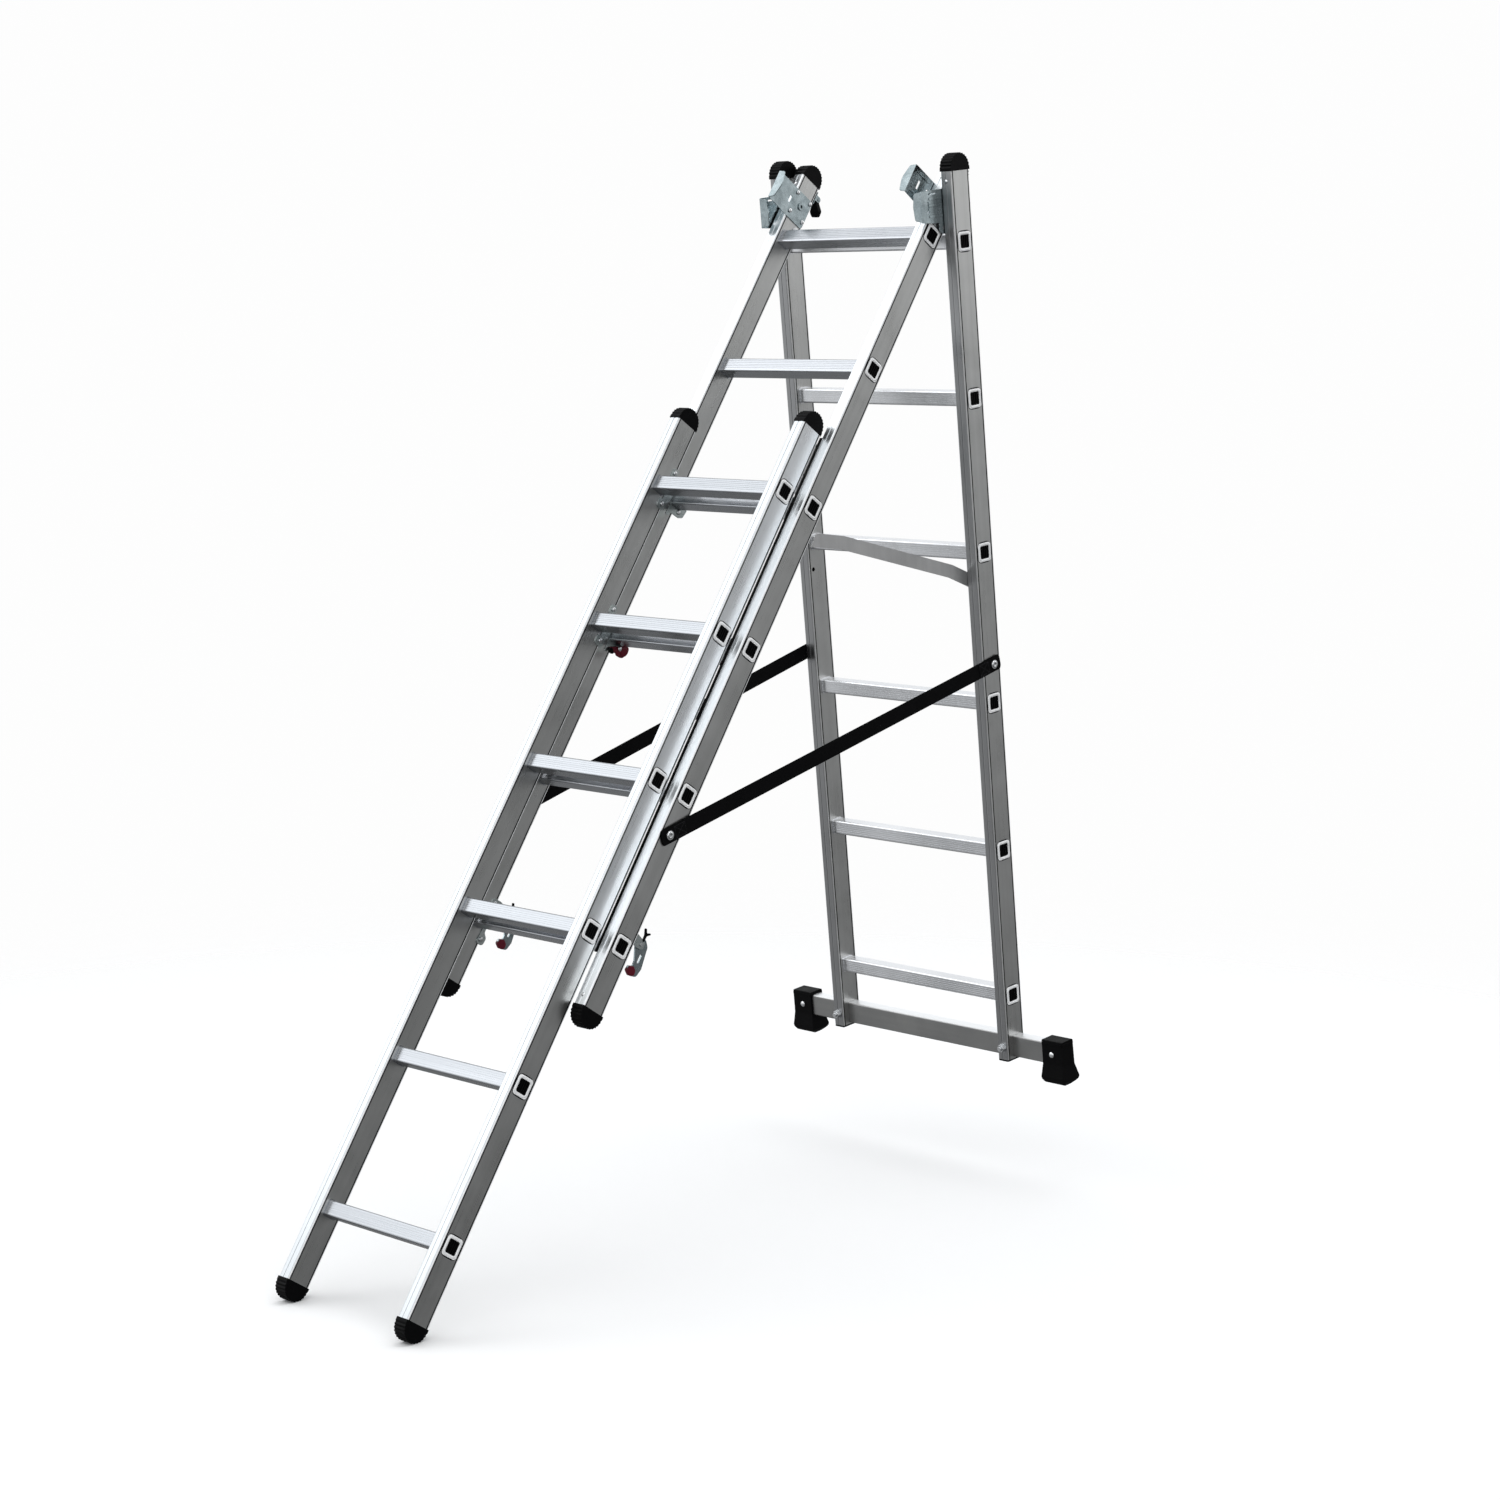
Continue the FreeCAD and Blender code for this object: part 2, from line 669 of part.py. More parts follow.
# hinge pins: head on the middle stile, shank into the rear hinge ear
pin = rod("yz", PIN_MIDDLE[0], PIN_MIDDLE[1], PIN_R, middle_face, rear_face - 0.4)
pin = pin.fuse(rod("yz", PIN_MIDDLE[0], PIN_MIDDLE[1], 8.0, middle_face - 2.4, middle_face))
add("hinge_pins", MIDDLE, both([pin.removeSplitter()]))

# lock lever lugs on the rear face of the middle stiles
ly, lz = LEVER_PIVOT
rear_side = STILE_D / 2
lug = block((LEVER_X - 7.5, LEVER_X + 14.0), (rear_side, rear_side + 1.6), (lz - 14, lz + 11))
for x in (LEVER_X - 7.5, LEVER_X + 6.0):
    arm = rod("yz", ly, lz, 5.5, x, x + 1.5)
    arm = arm.fuse(block((x, x + 1.5), (rear_side, ly), (lz - 5.5, lz + 5.5)))
    lug = lug.fuse(arm)
lug = lug.fuse(rod("yz", ly, lz, LEVER_PIN_R, LEVER_X - 8.5, LEVER_X + 8.5))
lug = lug.fuse(rod("xz", LEVER_X + 10.5, lz - 8, 2.6, rear_side + 1.6, rear_side + 3.0))
add("lever_lugs", MIDDLE, both([lug.removeSplitter()]))

# drop shaped lock levers, hanging plumb from their pins
drop = [
    (LEVER_X - 4.8, 5.2, 4.5),
    (LEVER_X + 4.8, 5.2, 4.5),
    (LEVER_X + 5.2, -6.5, 8.0),
    (LEVER_X + LEVER_HALF, -22.0, 6.0),
    (LEVER_X + 6.0, -32.0, 5.0),
    (LEVER_X - 6.0, -32.0, 5.0),
    (LEVER_X - LEVER_HALF, -22.0, 6.0),
    (LEVER_X - 5.2, -6.5, 8.0),
]
lever = slab("xz", drop, -4.0, 4.0)
lever = lever.cut(rod("yz", 0, 0, LEVER_PIN_R + LEVER_FIT, LEVER_X - 10, LEVER_X + 10))
hang = FreeCAD.Placement(V(0, ly, lz), FreeCAD.Rotation(V(1, 0, 0), MIDDLE_LEAN))
lever = lever.transformed(hang.toMatrix())
pair("lock_lever", MIDDLE, lever)

# hook brackets at the lowest middle rung, (y, z) about that rung
HOOK_PLATE = [
    (11.0, 45.0, 4.0),
    (30.0, 46.0, 4.0),
    (60.0, 38.0, 4.0),
    (70.5, 35.0, 5.0),
    (70.0, 22.0, 6.0),
    (56.0, 20.0, 6.0),
    (31.0, 25.0, 5.0),
    (24.5, 14.0, 6.0),
    (24.5, -16.0, 6.0),
    (33.0, -24.0, 6.0),
    (32.0, -39.0, 7.0),
    (14.0, -39.0, 6.0),
    (16.5, -22.0, 2.0),
    (16.5, 22.0, 2.0),
    (11.0, 28.0, 3.0),
]


def shifted(points, dy, dz):
    """Corners moved in their plane."""
    return [(a + dy, b + dz, r) for a, b, r in points]


hook_plate = slab("yz", shifted(HOOK_PLATE, 0, HOOK_BASE), plate_x[0] - 0.4, middle_face)
holes = []
for y, z in HOOK_RIVETS + [HOOK_PIVOT]:
    radius = RIVET_R + FIT if (y, z) != HOOK_PIVOT else 3.0 + FIT
    holes.append(rod("yz", y, HOOK_BASE + z, radius, plate_x[0] - 3, middle_face + 2))

# keeper plates round two middle rungs, (y, z) about the rung
KEEPER = [
    (-15.1, 15.2, 2.0),
    (15.2, 15.2, 3.0),
    (16.5, -3.0, 2.0),
    (28.5, -4.5, 3.0),
    (25.5, -22.0, 5.0),
    (17.0, -27.0, 5.0),
    (-6.0, -28.5, 3.0),
    (-8.5, -36.0, 2.0),
    (-15.1, -36.0, 2.0),
]
keeper_hole = rect(RUNG / 2 + RUNG_CLEAR, RUNG / 2 + RUNG_CLEAR, RUNG_R + RUNG_CLEAR)
keepers = []
for k in KEEPER_RUNGS:
    opening = shifted(keeper_hole, 0, -k * PITCH)
    keeper = slab("yz", shifted(KEEPER, 0, -k * PITCH), KEEPER_X[0], KEEPER_X[1], opening)
    pin_z = CATCH_PIVOT[1] - k * PITCH
    pin_hole = rod("yz", CATCH_PIVOT[0], pin_z, RIVET_R + FIT, KEEPER_X[0] - 1, KEEPER_X[1] + 1)
    keepers.append(keeper.cut(pin_hole))
add("middle_catch_plates", MIDDLE, both([hook_plate.cut(holes)] + keepers))

# red safety catches, two lobes swinging on a pin under the rung
CATCH = [
    (13.5, -15.2, 1.0),
    (6.5, -16.6, 3.0),
    (1.5, -19.6, 3.0),
    (-8.0, -24.8, 4.0),
    (-7.5, -33.5, 5.5),
    (4.5, -34.5, 5.5),
    (9.0, -27.5, 2.0),
    (14.5, -31.0, 4.5),
    (27.5, -29.5, 8.0),
    (35.5, -16.0, 8.0),
    (33.0, -5.0, 5.0),
    (22.0, -5.0, 4.0),
    (15.8, -8.5, 2.0),
    (15.4, -14.4, 0.8),
]
catch_base = -CATCH_RUNG * PITCH
catch_x = (KEEPER_X[0] - 0.5 - CATCH_T, KEEPER_X[0] - 0.5)
catch = slab("yz", shifted(CATCH, 0, catch_base), catch_x[0], catch_x[1])
bore = rod(
    "yz",
    CATCH_PIVOT[0],
    catch_base + CATCH_PIVOT[1],
    RIVET_R + FIT,
    catch_x[0] - 1,
    catch_x[1] + 1,
)
pair("safety_catch", MIDDLE, catch.cut(bore))

# swinging hooks behind the middle section
HOOK = [
    (55.0, 38.0, 5.0),
    (71.0, 41.0, 5.0),
    (81.0, 32.0, 6.0),
    (87.5, -6.0, 8.0),
    (83.0, -22.0, 7.0),
    (70.0, -26.0, 6.0),
    (57.0, -20.5, 3.0),
    (57.5, -12.0, 3.0),
    (66.0, -9.5, 4.0),
    (65.5, 0.0, 8.0),
    (56.5, 17.0, 5.0),
    (52.0, 26.0, 5.0),
]
hook_x = (plate_x[0] - 0.4 - 0.5 - HOOK_T, plate_x[0] - 0.4 - 0.5)
hook = slab("yz", shifted(HOOK, 0, HOOK_BASE), hook_x[0], hook_x[1])
slot = slab("yz", rect(2.2, 8.5, 2.1, 74.0, HOOK_BASE + 7.5), hook_x[0] - 1, hook_x[1] + 1)
bore = rod("yz", HOOK_PIVOT[0], HOOK_BASE + HOOK_PIVOT[1], 3.0 + FIT, hook_x[0] - 1, hook_x[1] + 1)
pair("lower_hook", MIDDLE, hook.cut([slot, bore]))

# middle rivets: hinge plates, hook brackets, hook pivots and catch pins
pins = []
for y, z in MIDDLE_PLATE_RIVETS:
    pins.append(rivet(y, z, -1, plate_x[0], MIDDLE_PLATE_T + STILE_WALL + 1.5))
for y, z in HOOK_RIVETS:
    pins.append(rivet(y, HOOK_BASE + z, -1, plate_x[0] - 0.4, 2.0 + STILE_WALL + 1.5))
head_x = hook_x[0] - 0.4
pins.append(
    rivet(
        HOOK_PIVOT[0], HOOK_BASE + HOOK_PIVOT[1], -1, head_x, middle_face + 1.2 - head_x, 3.0, 6.0
    )
)
keeper_pin = KEEPER_X[1] + 1.0
for k in KEEPER_RUNGS:
    head_x = (catch_x[0] if k == CATCH_RUNG else KEEPER_X[0]) - 0.4
    pin_z = CATCH_PIVOT[1] - k * PITCH
    pins.append(rivet(CATCH_PIVOT[0], pin_z, -1, head_x, keeper_pin - head_x, RIVET_R, 4.0, 1.2))
add("middle_rivets", MIDDLE, both(pins))

# front section stiles
front_cuts = []
for base in (0, -PITCH):
    for y, z in CATCH_RIVETS:
        front_cuts.append(
            rod("yz", y, base + z, RIVET_R + FIT, front_face - 1, front_face + 5)
        )
pair("front_stile", FRONT, stile(FRONT_HALF, FRONT_END, FRONT_TOP, front_cuts))
rung_set("front", FRONT, FRONT_HALF)
add("front_top_caps", FRONT, both([cap(FRONT_HALF, FRONT_TOP, 1, 0)]))
add("front_feet", FRONT, both([cap(FRONT_HALF, FRONT_END, -1, CAP_PROUD)]))

# bracket plates at the two upper front rungs
CATCH_PLATE = [
    (11.5, 44.0, 4.0),
    (26.0, 44.0, 4.0),
    (28.0, 28.0, 5.0),
    (36.0, 14.0, 6.0),
    (36.0, -10.0, 6.0),
    (30.0, -20.0, 4.0),
    (30.5, -36.5, 8.0),
    (9.5, -36.5, 8.0),
    (9.5, -18.0, 3.0),
    (16.5, -18.0, 2.0),
    (16.5, 22.0, 2.0),
    (11.5, 28.0, 3.0),
]
plate_x = (front_face - 1.6, front_face)
plates = []
pins = []
for base in (0, -PITCH):
    plate = slab("yz", shifted(CATCH_PLATE, 0, base), plate_x[0], plate_x[1])
    holes = []
    for y, z in CATCH_RIVETS:
        holes.append(rod("yz", y, base + z, RIVET_R + FIT, plate_x[0] - 2, plate_x[1] + 2))
        pins.append(rivet(y, base + z, -1, plate_x[0], 1.6 + STILE_WALL + 1.5))
    plates.append(plate.cut(holes))
add("front_catch_plates", FRONT, both(plates))
add("front_rivets", FRONT, both(pins))

# webbing straps between the rear and middle stiles
start = REAR.multVec(V(REAR_HALF + STRAP_OFF, STRAP_REAR[0], STRAP_REAR[1]))
end = MIDDLE.multVec(V(MIDDLE_HALF + STRAP_OFF - 0.4, STRAP_MIDDLE[0], STRAP_MIDDLE[1]))
along = end - start
length = along.Length
along.normalize()
across = V(1, 0, 0).cross(along)
across.normalize()
outward = along.cross(across)
turn = FreeCAD.Rotation(along, across, outward, "XYZ")
frame = FreeCAD.Placement(start, turn)
strap = slab(
    "xy",
    rect(length / 2 + STRAP_TAIL, STRAP_W / 2, 5.0, length / 2, 0),
    -STRAP_T / 2,
    STRAP_T / 2,
)
strap = strap.transformed(frame.toMatrix())
eyelets = [
    Part.makeCylinder(STRAP_BOLT_R + 0.3, 20, start - V(10, 0, 0), V(1, 0, 0)),
    Part.makeCylinder(STRAP_BOLT_R + 0.3, 20, end - V(10, 0, 0), V(1, 0, 0)),
]
pair("strap", FreeCAD.Placement(), strap.cut(eyelets))

# origin under the middle of the standing ladder
whole = Part.makeCompound([solid for solids in NODES.values() for solid in solids])
limits = whole.optimalBoundingBox(False, False)
shift = V(
    -(limits.XMin + limits.XMax) / 2,
    -(limits.YMin + limits.YMax) / 2,
    -limits.ZMin,
)
print("size", limits.XLength, limits.YLength, limits.ZLength, "shift", shift)
for name, solids in sorted(NODES.items()):
    moved = [solid.translated(shift) for solid in solids]
    shape = moved[0] if len(moved) == 1 else Part.makeCompound(moved)
    shape.exportStep(os.path.join("parts", name + ".step"))
print(len(NODES), "nodes")
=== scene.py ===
import json
import math

import bmesh
import bpy
from mathutils import Matrix, Vector


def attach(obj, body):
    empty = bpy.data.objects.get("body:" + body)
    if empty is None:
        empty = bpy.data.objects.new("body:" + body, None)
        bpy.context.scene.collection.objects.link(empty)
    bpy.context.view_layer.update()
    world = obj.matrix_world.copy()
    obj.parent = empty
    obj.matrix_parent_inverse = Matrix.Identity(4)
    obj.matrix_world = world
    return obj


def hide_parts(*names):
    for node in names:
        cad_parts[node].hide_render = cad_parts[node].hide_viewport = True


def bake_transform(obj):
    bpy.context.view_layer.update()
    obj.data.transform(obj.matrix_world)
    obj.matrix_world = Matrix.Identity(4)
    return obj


# Multi position ladder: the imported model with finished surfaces, webbing,
# catches and small hardware, standing on a pale floor.

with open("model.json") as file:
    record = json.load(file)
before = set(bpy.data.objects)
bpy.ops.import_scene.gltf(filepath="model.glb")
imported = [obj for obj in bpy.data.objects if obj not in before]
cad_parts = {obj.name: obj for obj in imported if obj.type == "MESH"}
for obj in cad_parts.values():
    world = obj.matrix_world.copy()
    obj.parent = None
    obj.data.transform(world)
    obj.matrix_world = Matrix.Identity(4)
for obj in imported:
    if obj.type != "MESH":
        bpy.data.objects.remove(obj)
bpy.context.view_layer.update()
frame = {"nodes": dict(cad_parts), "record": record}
record = frame["record"]
nodes = frame["nodes"]
MM = 0.001

# ---------------------------------------------------------------- sections
joints = {j["name"]: j for j in record["behaviour"]["joints"]}
SLIDE_AXIS = Vector(joints["extension"]["axis"])
MIDDLE_LEAN = -math.atan2(SLIDE_AXIS.y, SLIDE_AXIS.z)
REAR_LEAN = math.radians(6.56)
HINGE = Vector(joints["fold"]["pos_m"])
PITCH = 280.0


class Patch:
    """A local frame in millimetres, placed in the CAD frame."""

    def __init__(self, matrix):
        self.matrix = matrix

    def point(self, x, y, z):
        return self.matrix @ (Vector((x, y, z)) * MM)


class Section(Patch):
    """A leaned ladder section: local millimetres about its top rung."""

    def __init__(self, lean, pin, step=(0, 0)):
        rotation = Matrix.Rotation(lean, 4, "X")
        origin = HINGE - rotation @ (Vector((0, pin[0], pin[1])) * MM)
        shift = rotation @ (Vector((0, step[0], step[1])) * MM)
        super().__init__(Matrix.Translation(origin + shift) @ rotation)
        self.lean = lean
        self.offset = self.matrix.inverted().translation


REAR = Section(REAR_LEAN, (-24.9, 26.8))
MIDDLE = Section(MIDDLE_LEAN, (13.7, 26.7))
FRONT = Section(MIDDLE_LEAN, (13.7, 26.7), (-52.2, -2 * PITCH))
SIDES = {"right": 1, "left": -1}


# ---------------------------------------------------------------- materials
class Net:
    """A material's node tree, built a node at a time."""

    def __init__(self, name):
        self.material = bpy.data.materials.new(name)
        self.material.use_nodes = True
        self.tree = self.material.node_tree
        self.tree.nodes.clear()
        self.output = self.node("ShaderNodeOutputMaterial")
        self.shader = self.node("ShaderNodeBsdfPrincipled")
        self.link(self.shader, "BSDF", self.output, "Surface")

    def node(self, kind, **values):
        made = self.tree.nodes.new(kind)
        for key, value in values.items():
            setattr(made, key, value)
        return made

    def link(self, source, out, target, into):
        self.tree.links.new(source.outputs[out], target.inputs[into])

    def place(self, section=None, scale=(1, 1, 1), output="Object"):
        """Texture coordinates, turned into a leaned section's own axes if given."""
        coords = self.node("ShaderNodeTexCoord")
        turn = self.node("ShaderNodeMapping", vector_type="POINT")
        if section:
            turn.inputs["Rotation"].default_value = (-section.lean, 0, 0)
            turn.inputs["Location"].default_value = section.offset
        stretch = self.node("ShaderNodeMapping", vector_type="POINT")
        stretch.inputs["Scale"].default_value = scale
        self.link(coords, output, turn, "Vector")
        self.link(turn, "Vector", stretch, "Vector")
        return stretch

    def noise(self, place, scale, detail=3.0, rough=0.55, distortion=0.0):
        made = self.node("ShaderNodeTexNoise")
        made.inputs["Scale"].default_value = scale
        made.inputs["Detail"].default_value = detail
        made.inputs["Roughness"].default_value = rough
        made.inputs["Distortion"].default_value = distortion
        self.link(place, "Vector", made, "Vector")
        return made

    def spread(self, source, out, low, high, start=0.3, end=0.7):
        """Maps a texture's start..end onto low..high."""
        made = self.node("ShaderNodeMapRange")
        made.inputs["From Min"].default_value = start
        made.inputs["From Max"].default_value = end
        made.inputs["To Min"].default_value = low
        made.inputs["To Max"].default_value = high
        self.link(source, out, made, "Value")
        return made

    def math(self, operation, a, b):
        """Arithmetic on two (node, output) pairs or numbers."""
        made = self.node("ShaderNodeMath", operation=operation)
        for slot, value in enumerate((a, b)):
            if isinstance(value, tuple):
                self.tree.links.new(value[0].outputs[value[1]], made.inputs[slot])
            else:
                made.inputs[slot].default_value = value
        return made

    def tint(self, source, out, colours, stops=None):
        """Colour ramp over a texture."""
        made = self.node("ShaderNodeValToRGB")
        ramp = made.color_ramp
        stops = stops or [i / (len(colours) - 1) for i in range(len(colours))]
        while len(ramp.elements) < len(colours):
            ramp.elements.new(0.5)
        for element, stop, colour in zip(ramp.elements, stops, colours):
            element.position = stop
            element.color = (*colour, 1)
        self.link(source, out, made, "Fac")
        return made

    def bump(self, height, out, strength, distance, normal=None):
        made = self.node("ShaderNodeBump")
        made.inputs["Strength"].default_value = strength
        made.inputs["Distance"].default_value = distance
        self.link(height, out, made, "Height")
        if normal:
            self.link(normal, "Normal", made, "Normal")
        self.link(made, "Normal", self.shader, "Normal")
        return made

    def set(self, **values):
        for key, value in values.items():
            self.shader.inputs[key.replace("_", " ")].default_value = value


def band(net, distance, out, centre, half, soft):
    """Mask of 1 where a distance is within half of centre, softened outside."""
    off = net.math("ABSOLUTE", (net.math("SUBTRACT", (distance, out), centre), "Value"), 0.0)
    return net.spread(off, "Value", 1.0, 0.0, half, half + soft)


def stile_lines(net, section, half):
    """Masks of painted shade (dark lines in the bead grooves, a dark ring round the rung ends on the
    outer side) and of painted highlight lines beside the grooves.
    """
    split = net.node("ShaderNodeSeparateXYZ")
    net.link(net.place(section), "Vector", split, "Vector")
    depth = net.math("ABSOLUTE", (split, "Y"), 0.0)
    # painted shade: dark lines along the bead grooves
    groove = band(net, depth, "Value", GROOVE_AT, GROOVE_HALF, 0.0003)
    # painted highlight: light lines just outside the bead grooves
    painted_highlight = band(net, depth, "Value", PAINTED_HIGHLIGHT_AT, PAINTED_HIGHLIGHT_HALF, 0.0006)
    # painted shadow: a dark rounded-square ring round each rung end, outer side only
    step = net.math("PINGPONG", (split, "Z"), PITCH * MM / 2)
    high = net.math("MULTIPLY", (step, "Value"), CENTI)
    high = net.math("POWER", (high, "Value"), SQUARENESS)
    wide = net.math("MULTIPLY", (depth, "Value"), CENTI)
    wide = net.math("POWER", (wide, "Value"), SQUARENESS)
    total = net.math("ADD", (high, "Value"), (wide, "Value"))
    reach = net.math("POWER", (total, "Value"), 1 / SQUARENESS)
    shadow_ring = band(net, reach, "Value", SHADOW_RING_AT * CENTI, SHADOW_RING_HALF * CENTI, 0.03)
    across = net.math("ABSOLUTE", (split, "X"), 0.0)
    outside = net.spread(across, "Value", 0.0, 1.0, (half - 12) * MM, (half - 11) * MM)
    shadow_ring = net.math("MULTIPLY", (shadow_ring, "Result"), (outside, "Result"))
    dark = net.math("MAXIMUM", (groove, "Result"), (shadow_ring, "Value"))
    clear = net.math("SUBTRACT", 1.0, (shadow_ring, "Value"))
    painted_highlight = net.math("MULTIPLY", (painted_highlight, "Result"), (clear, "Value"))
    return dark, painted_highlight, split


def end_painted_highlight(net, section, half):
    """Mask of the rung-end flares, which are painted near white as a highlight."""
    split = net.node("ShaderNodeSeparateXYZ")
    net.link(net.place(section), "Vector", split, "Vector")
    reach = net.math("ABSOLUTE", (split, "X"), 0.0)
    return net.spread(reach, "Value", 0.0, 1.0, (half - 0.6) * MM, (half - 0.4) * MM)


def overlay(net, base, mask, out, colour):
    """Lays a plain colour over another by a mask."""
    mix = net.node("ShaderNodeMix", data_type="RGBA", clamp_factor=True)
    net.tree.links.new(mask.outputs[out], mix.inputs[0])
    net.tree.links.new(base, mix.inputs[6])
    mix.inputs[7].default_value = (*colour, 1)
    return mix.outputs[2]


def drawn_aluminium(name, section, along, dark, light, rough, lines=1.0, kind="", half=0.0,
                    front=None, side_light=None, glint=1.0):
    """Extruded aluminium: die lines along its length, handling haze, wear; on stiles, rungs and the bar
    also painted highlights, painted shade and painted light tones.
    """
    net = Net(name)
    fine = (2.5, 700.0, 700.0) if along == "x" else (620.0, 620.0, 5.0)
    wide = (0.8, 120.0, 120.0) if along == "x" else (90.0, 90.0, 1.2)
    streaks = net.noise(net.place(section, fine), 1.0, 4.0, 0.65)
    bands = net.noise(net.place(section, wide), 1.0, 2.0, 0.5)
    haze = net.noise(net.place(section), 7.5, 4.0, 0.6, 0.4)
    scuff = net.noise(net.place(section, (70.0, 240.0, 35.0)), 1.0, 6.0, 0.75, 1.2)
    marks = net.spread(scuff, "Fac", 0.0, 1.0, 0.64, 0.74)
    blend = net.math("MULTIPLY", (bands, "Fac"), 0.40)
    blend = net.math("ADD", (blend, "Value"), (net.spread(haze, "Fac", 0.1, 0.45), "Result"))
    colour = net.tint(blend, "Value", (dark, light), (0.25, 0.85)).outputs["Color"]
    base = net.spread(streaks, "Fac", rough - 0.05, rough + 0.07)
    film = net.spread(haze, "Fac", -0.03, 0.06)
    total = net.math("ADD", (base, "Result"), (film, "Result"))
    worn = net.math("MULTIPLY", (marks, "Result"), 0.12)
    total = net.math("ADD", (total, "Value"), (worn, "Value"))
    metal = None
    if kind == "stile":
        painted_shade_marks, painted_highlight, split = stile_lines(net, section, half)
        painted_highlight = net.math("MULTIPLY", (painted_highlight, "Value"), glint)
        # painted light: front faces get a tone per section, the same aluminium made lighter or darker
        if front:
            face = net.spread(split, "Y", 1.0, 0.0, -0.0242, -0.0238)
            colour = overlay(net, colour, face, "Result", front)
        # painted light: outer side faces lighter above about 0.8 m below the top rung, darker below
        if side_light:
            face = net.spread(split, "Z", 0.0, 1.0, -0.95, -0.80)
            side = net.spread(split, "X", 0.0, 1.0, (half - 1.5) * MM, (half - 0.8) * MM)
            face = net.math("MULTIPLY", (face, "Result"), (side, "Result"))
            colour = overlay(net, colour, face, "Value", side_light)
        # painted highlight lines laid on in near white, made less metallic
        colour = overlay(net, colour, painted_highlight, "Value", PAINTED_HIGHLIGHT_WHITE)
        # painted shade laid on in near black: groove lines and rung-end rings
        colour = overlay(net, colour, painted_shade_marks, "Value", PAINTED_SHADE_DARK)
        metal = net.math("MULTIPLY", (painted_highlight, "Value"), -0.75)
    if kind == "rung":
        # painted highlight: the rung-end flares near white and less metallic
        painted_highlight = end_painted_highlight(net, section, half)
        colour = overlay(net, colour, painted_highlight, "Result", (0.95, 0.95, 0.95))
        metal = net.math("MULTIPLY", (painted_highlight, "Result"), -0.75)
    # painted light: upward faces of the bar near white
    if kind == "bar":
        facing = net.node("ShaderNodeSeparateXYZ")
        net.link(net.node("ShaderNodeTexCoord"), "Normal", facing, "Vector")
        face = net.spread(facing, "Z", 0.0, 1.0, 0.5, 0.9)
        colour = overlay(net, colour, face, "Result", PAINTED_HIGHLIGHT_WHITE)
    net.tree.links.new(colour, net.shader.inputs["Base Color"])
    if metal:
        metal = net.math("ADD", (metal, "Value"), 1.0)
        net.link(metal, "Value", net.shader, "Metallic")
    else:
        net.set(Metallic=1.0)
    net.link(total, "Value", net.shader, "Roughness")
    height = net.math("ADD", (streaks, "Fac"), (net.math("MULTIPLY", (bands, "Fac"), 0.6), "Value"))
    net.bump(height, "Value", 0.10 * lines, 0.0004)
    return net.material


def zinc_steel(name, dark, light, rough):
    """Zinc plated sheet: faint spangle, blue and straw tints, rolled edges, and painted shade darkening
    the colour in crevices.
    """
    net = Net(name)
    net.set(Metallic=1.0)
    place = net.place()
    crystals = net.node("ShaderNodeTexVoronoi")
    crystals.inputs["Scale"].default_value = 260.0
    net.link(place, "Vector", crystals, "Vector")
    clouds = net.noise(place, 38.0, 4.0, 0.6, 0.5)
    grime = net.noise(place, 95.0, 5.0, 0.7)
    grain = net.noise(place, 900.0, 2.0, 0.5)
    straw = (light[0], light[1] * 0.985, light[2] * 0.93)
    tone = net.math("MULTIPLY", (crystals, "Distance"), 0.2)
    tone = net.math("ADD", (tone, "Value"), (net.spread(clouds, "Fac", 0.18, 0.5), "Result"))
    colour = net.tint(tone, "Value", (dark, light, straw), (0.1, 0.6, 0.95))
    # painted shade: ambient occlusion darkens the colour in crevices and where parts close in
    crevice = net.node("ShaderNodeAmbientOcclusion", samples=6)
    crevice.inputs["Distance"].default_value = 0.007
    shade = net.spread(crevice, "AO", 0.85, 0.0, 0.35, 0.8)
    toned = overlay(net, colour.outputs["Color"], shade, "Result", (0.035, 0.045, 0.050))
    net.tree.links.new(toned, net.shader.inputs["Base Color"])
    film = net.spread(grime, "Fac", rough - 0.03, rough + 0.06)
    cells = net.math("MULTIPLY", (crystals, "Distance"), 0.05)
    total = net.math("ADD", (film, "Result"), (cells, "Value"))
    net.link(total, "Value", net.shader, "Roughness")
    round_edge = net.node("ShaderNodeBevel", samples=4)
    round_edge.inputs["Radius"].default_value = 0.0005
    wave = net.noise(place, 42.0, 1.0, 0.4)
    rolled = net.bump(wave, "Fac", 0.14, 0.004, round_edge)
    net.bump(grain, "Fac", 0.06, 0.0003, rolled)
    return net.material


def moulded(name, colour, rough, grain_size, depth, edge=0.0006, gloss=0.06, faded=1.6):
    """Moulded plastic or rubber: fine grain, dull patches, paler scuffs."""
    net = Net(name)
    place = net.place()
    grain = net.noise(place, grain_size, 2.0, 0.5)
    patches = net.noise(place, 55.0, 4.0, 0.6, 0.3)
    scuffs = net.noise(net.place(None, (1.0, 3.2, 1.7)), 120.0, 6.0, 0.75, 0.8)
    pale = tuple(min(1.0, c * faded + 0.002) for c in colour)
    tone = net.spread(scuffs, "Fac", 0.0, 1.0, 0.52, 0.8)
    net.link(net.tint(tone, "Result", (colour, pale)), "Color", net.shader, "Base Color")
    base = net.spread(patches, "Fac", rough - 0.06, rough + 0.08)
    net.link(base, "Result", net.shader, "Roughness")
    net.set(Specular_IOR_Level=gloss)
    round_edge = net.node("ShaderNodeBevel", samples=4)
    round_edge.inputs["Radius"].default_value = edge
    net.bump(grain, "Fac", depth, 0.0004, round_edge)
    return net.material


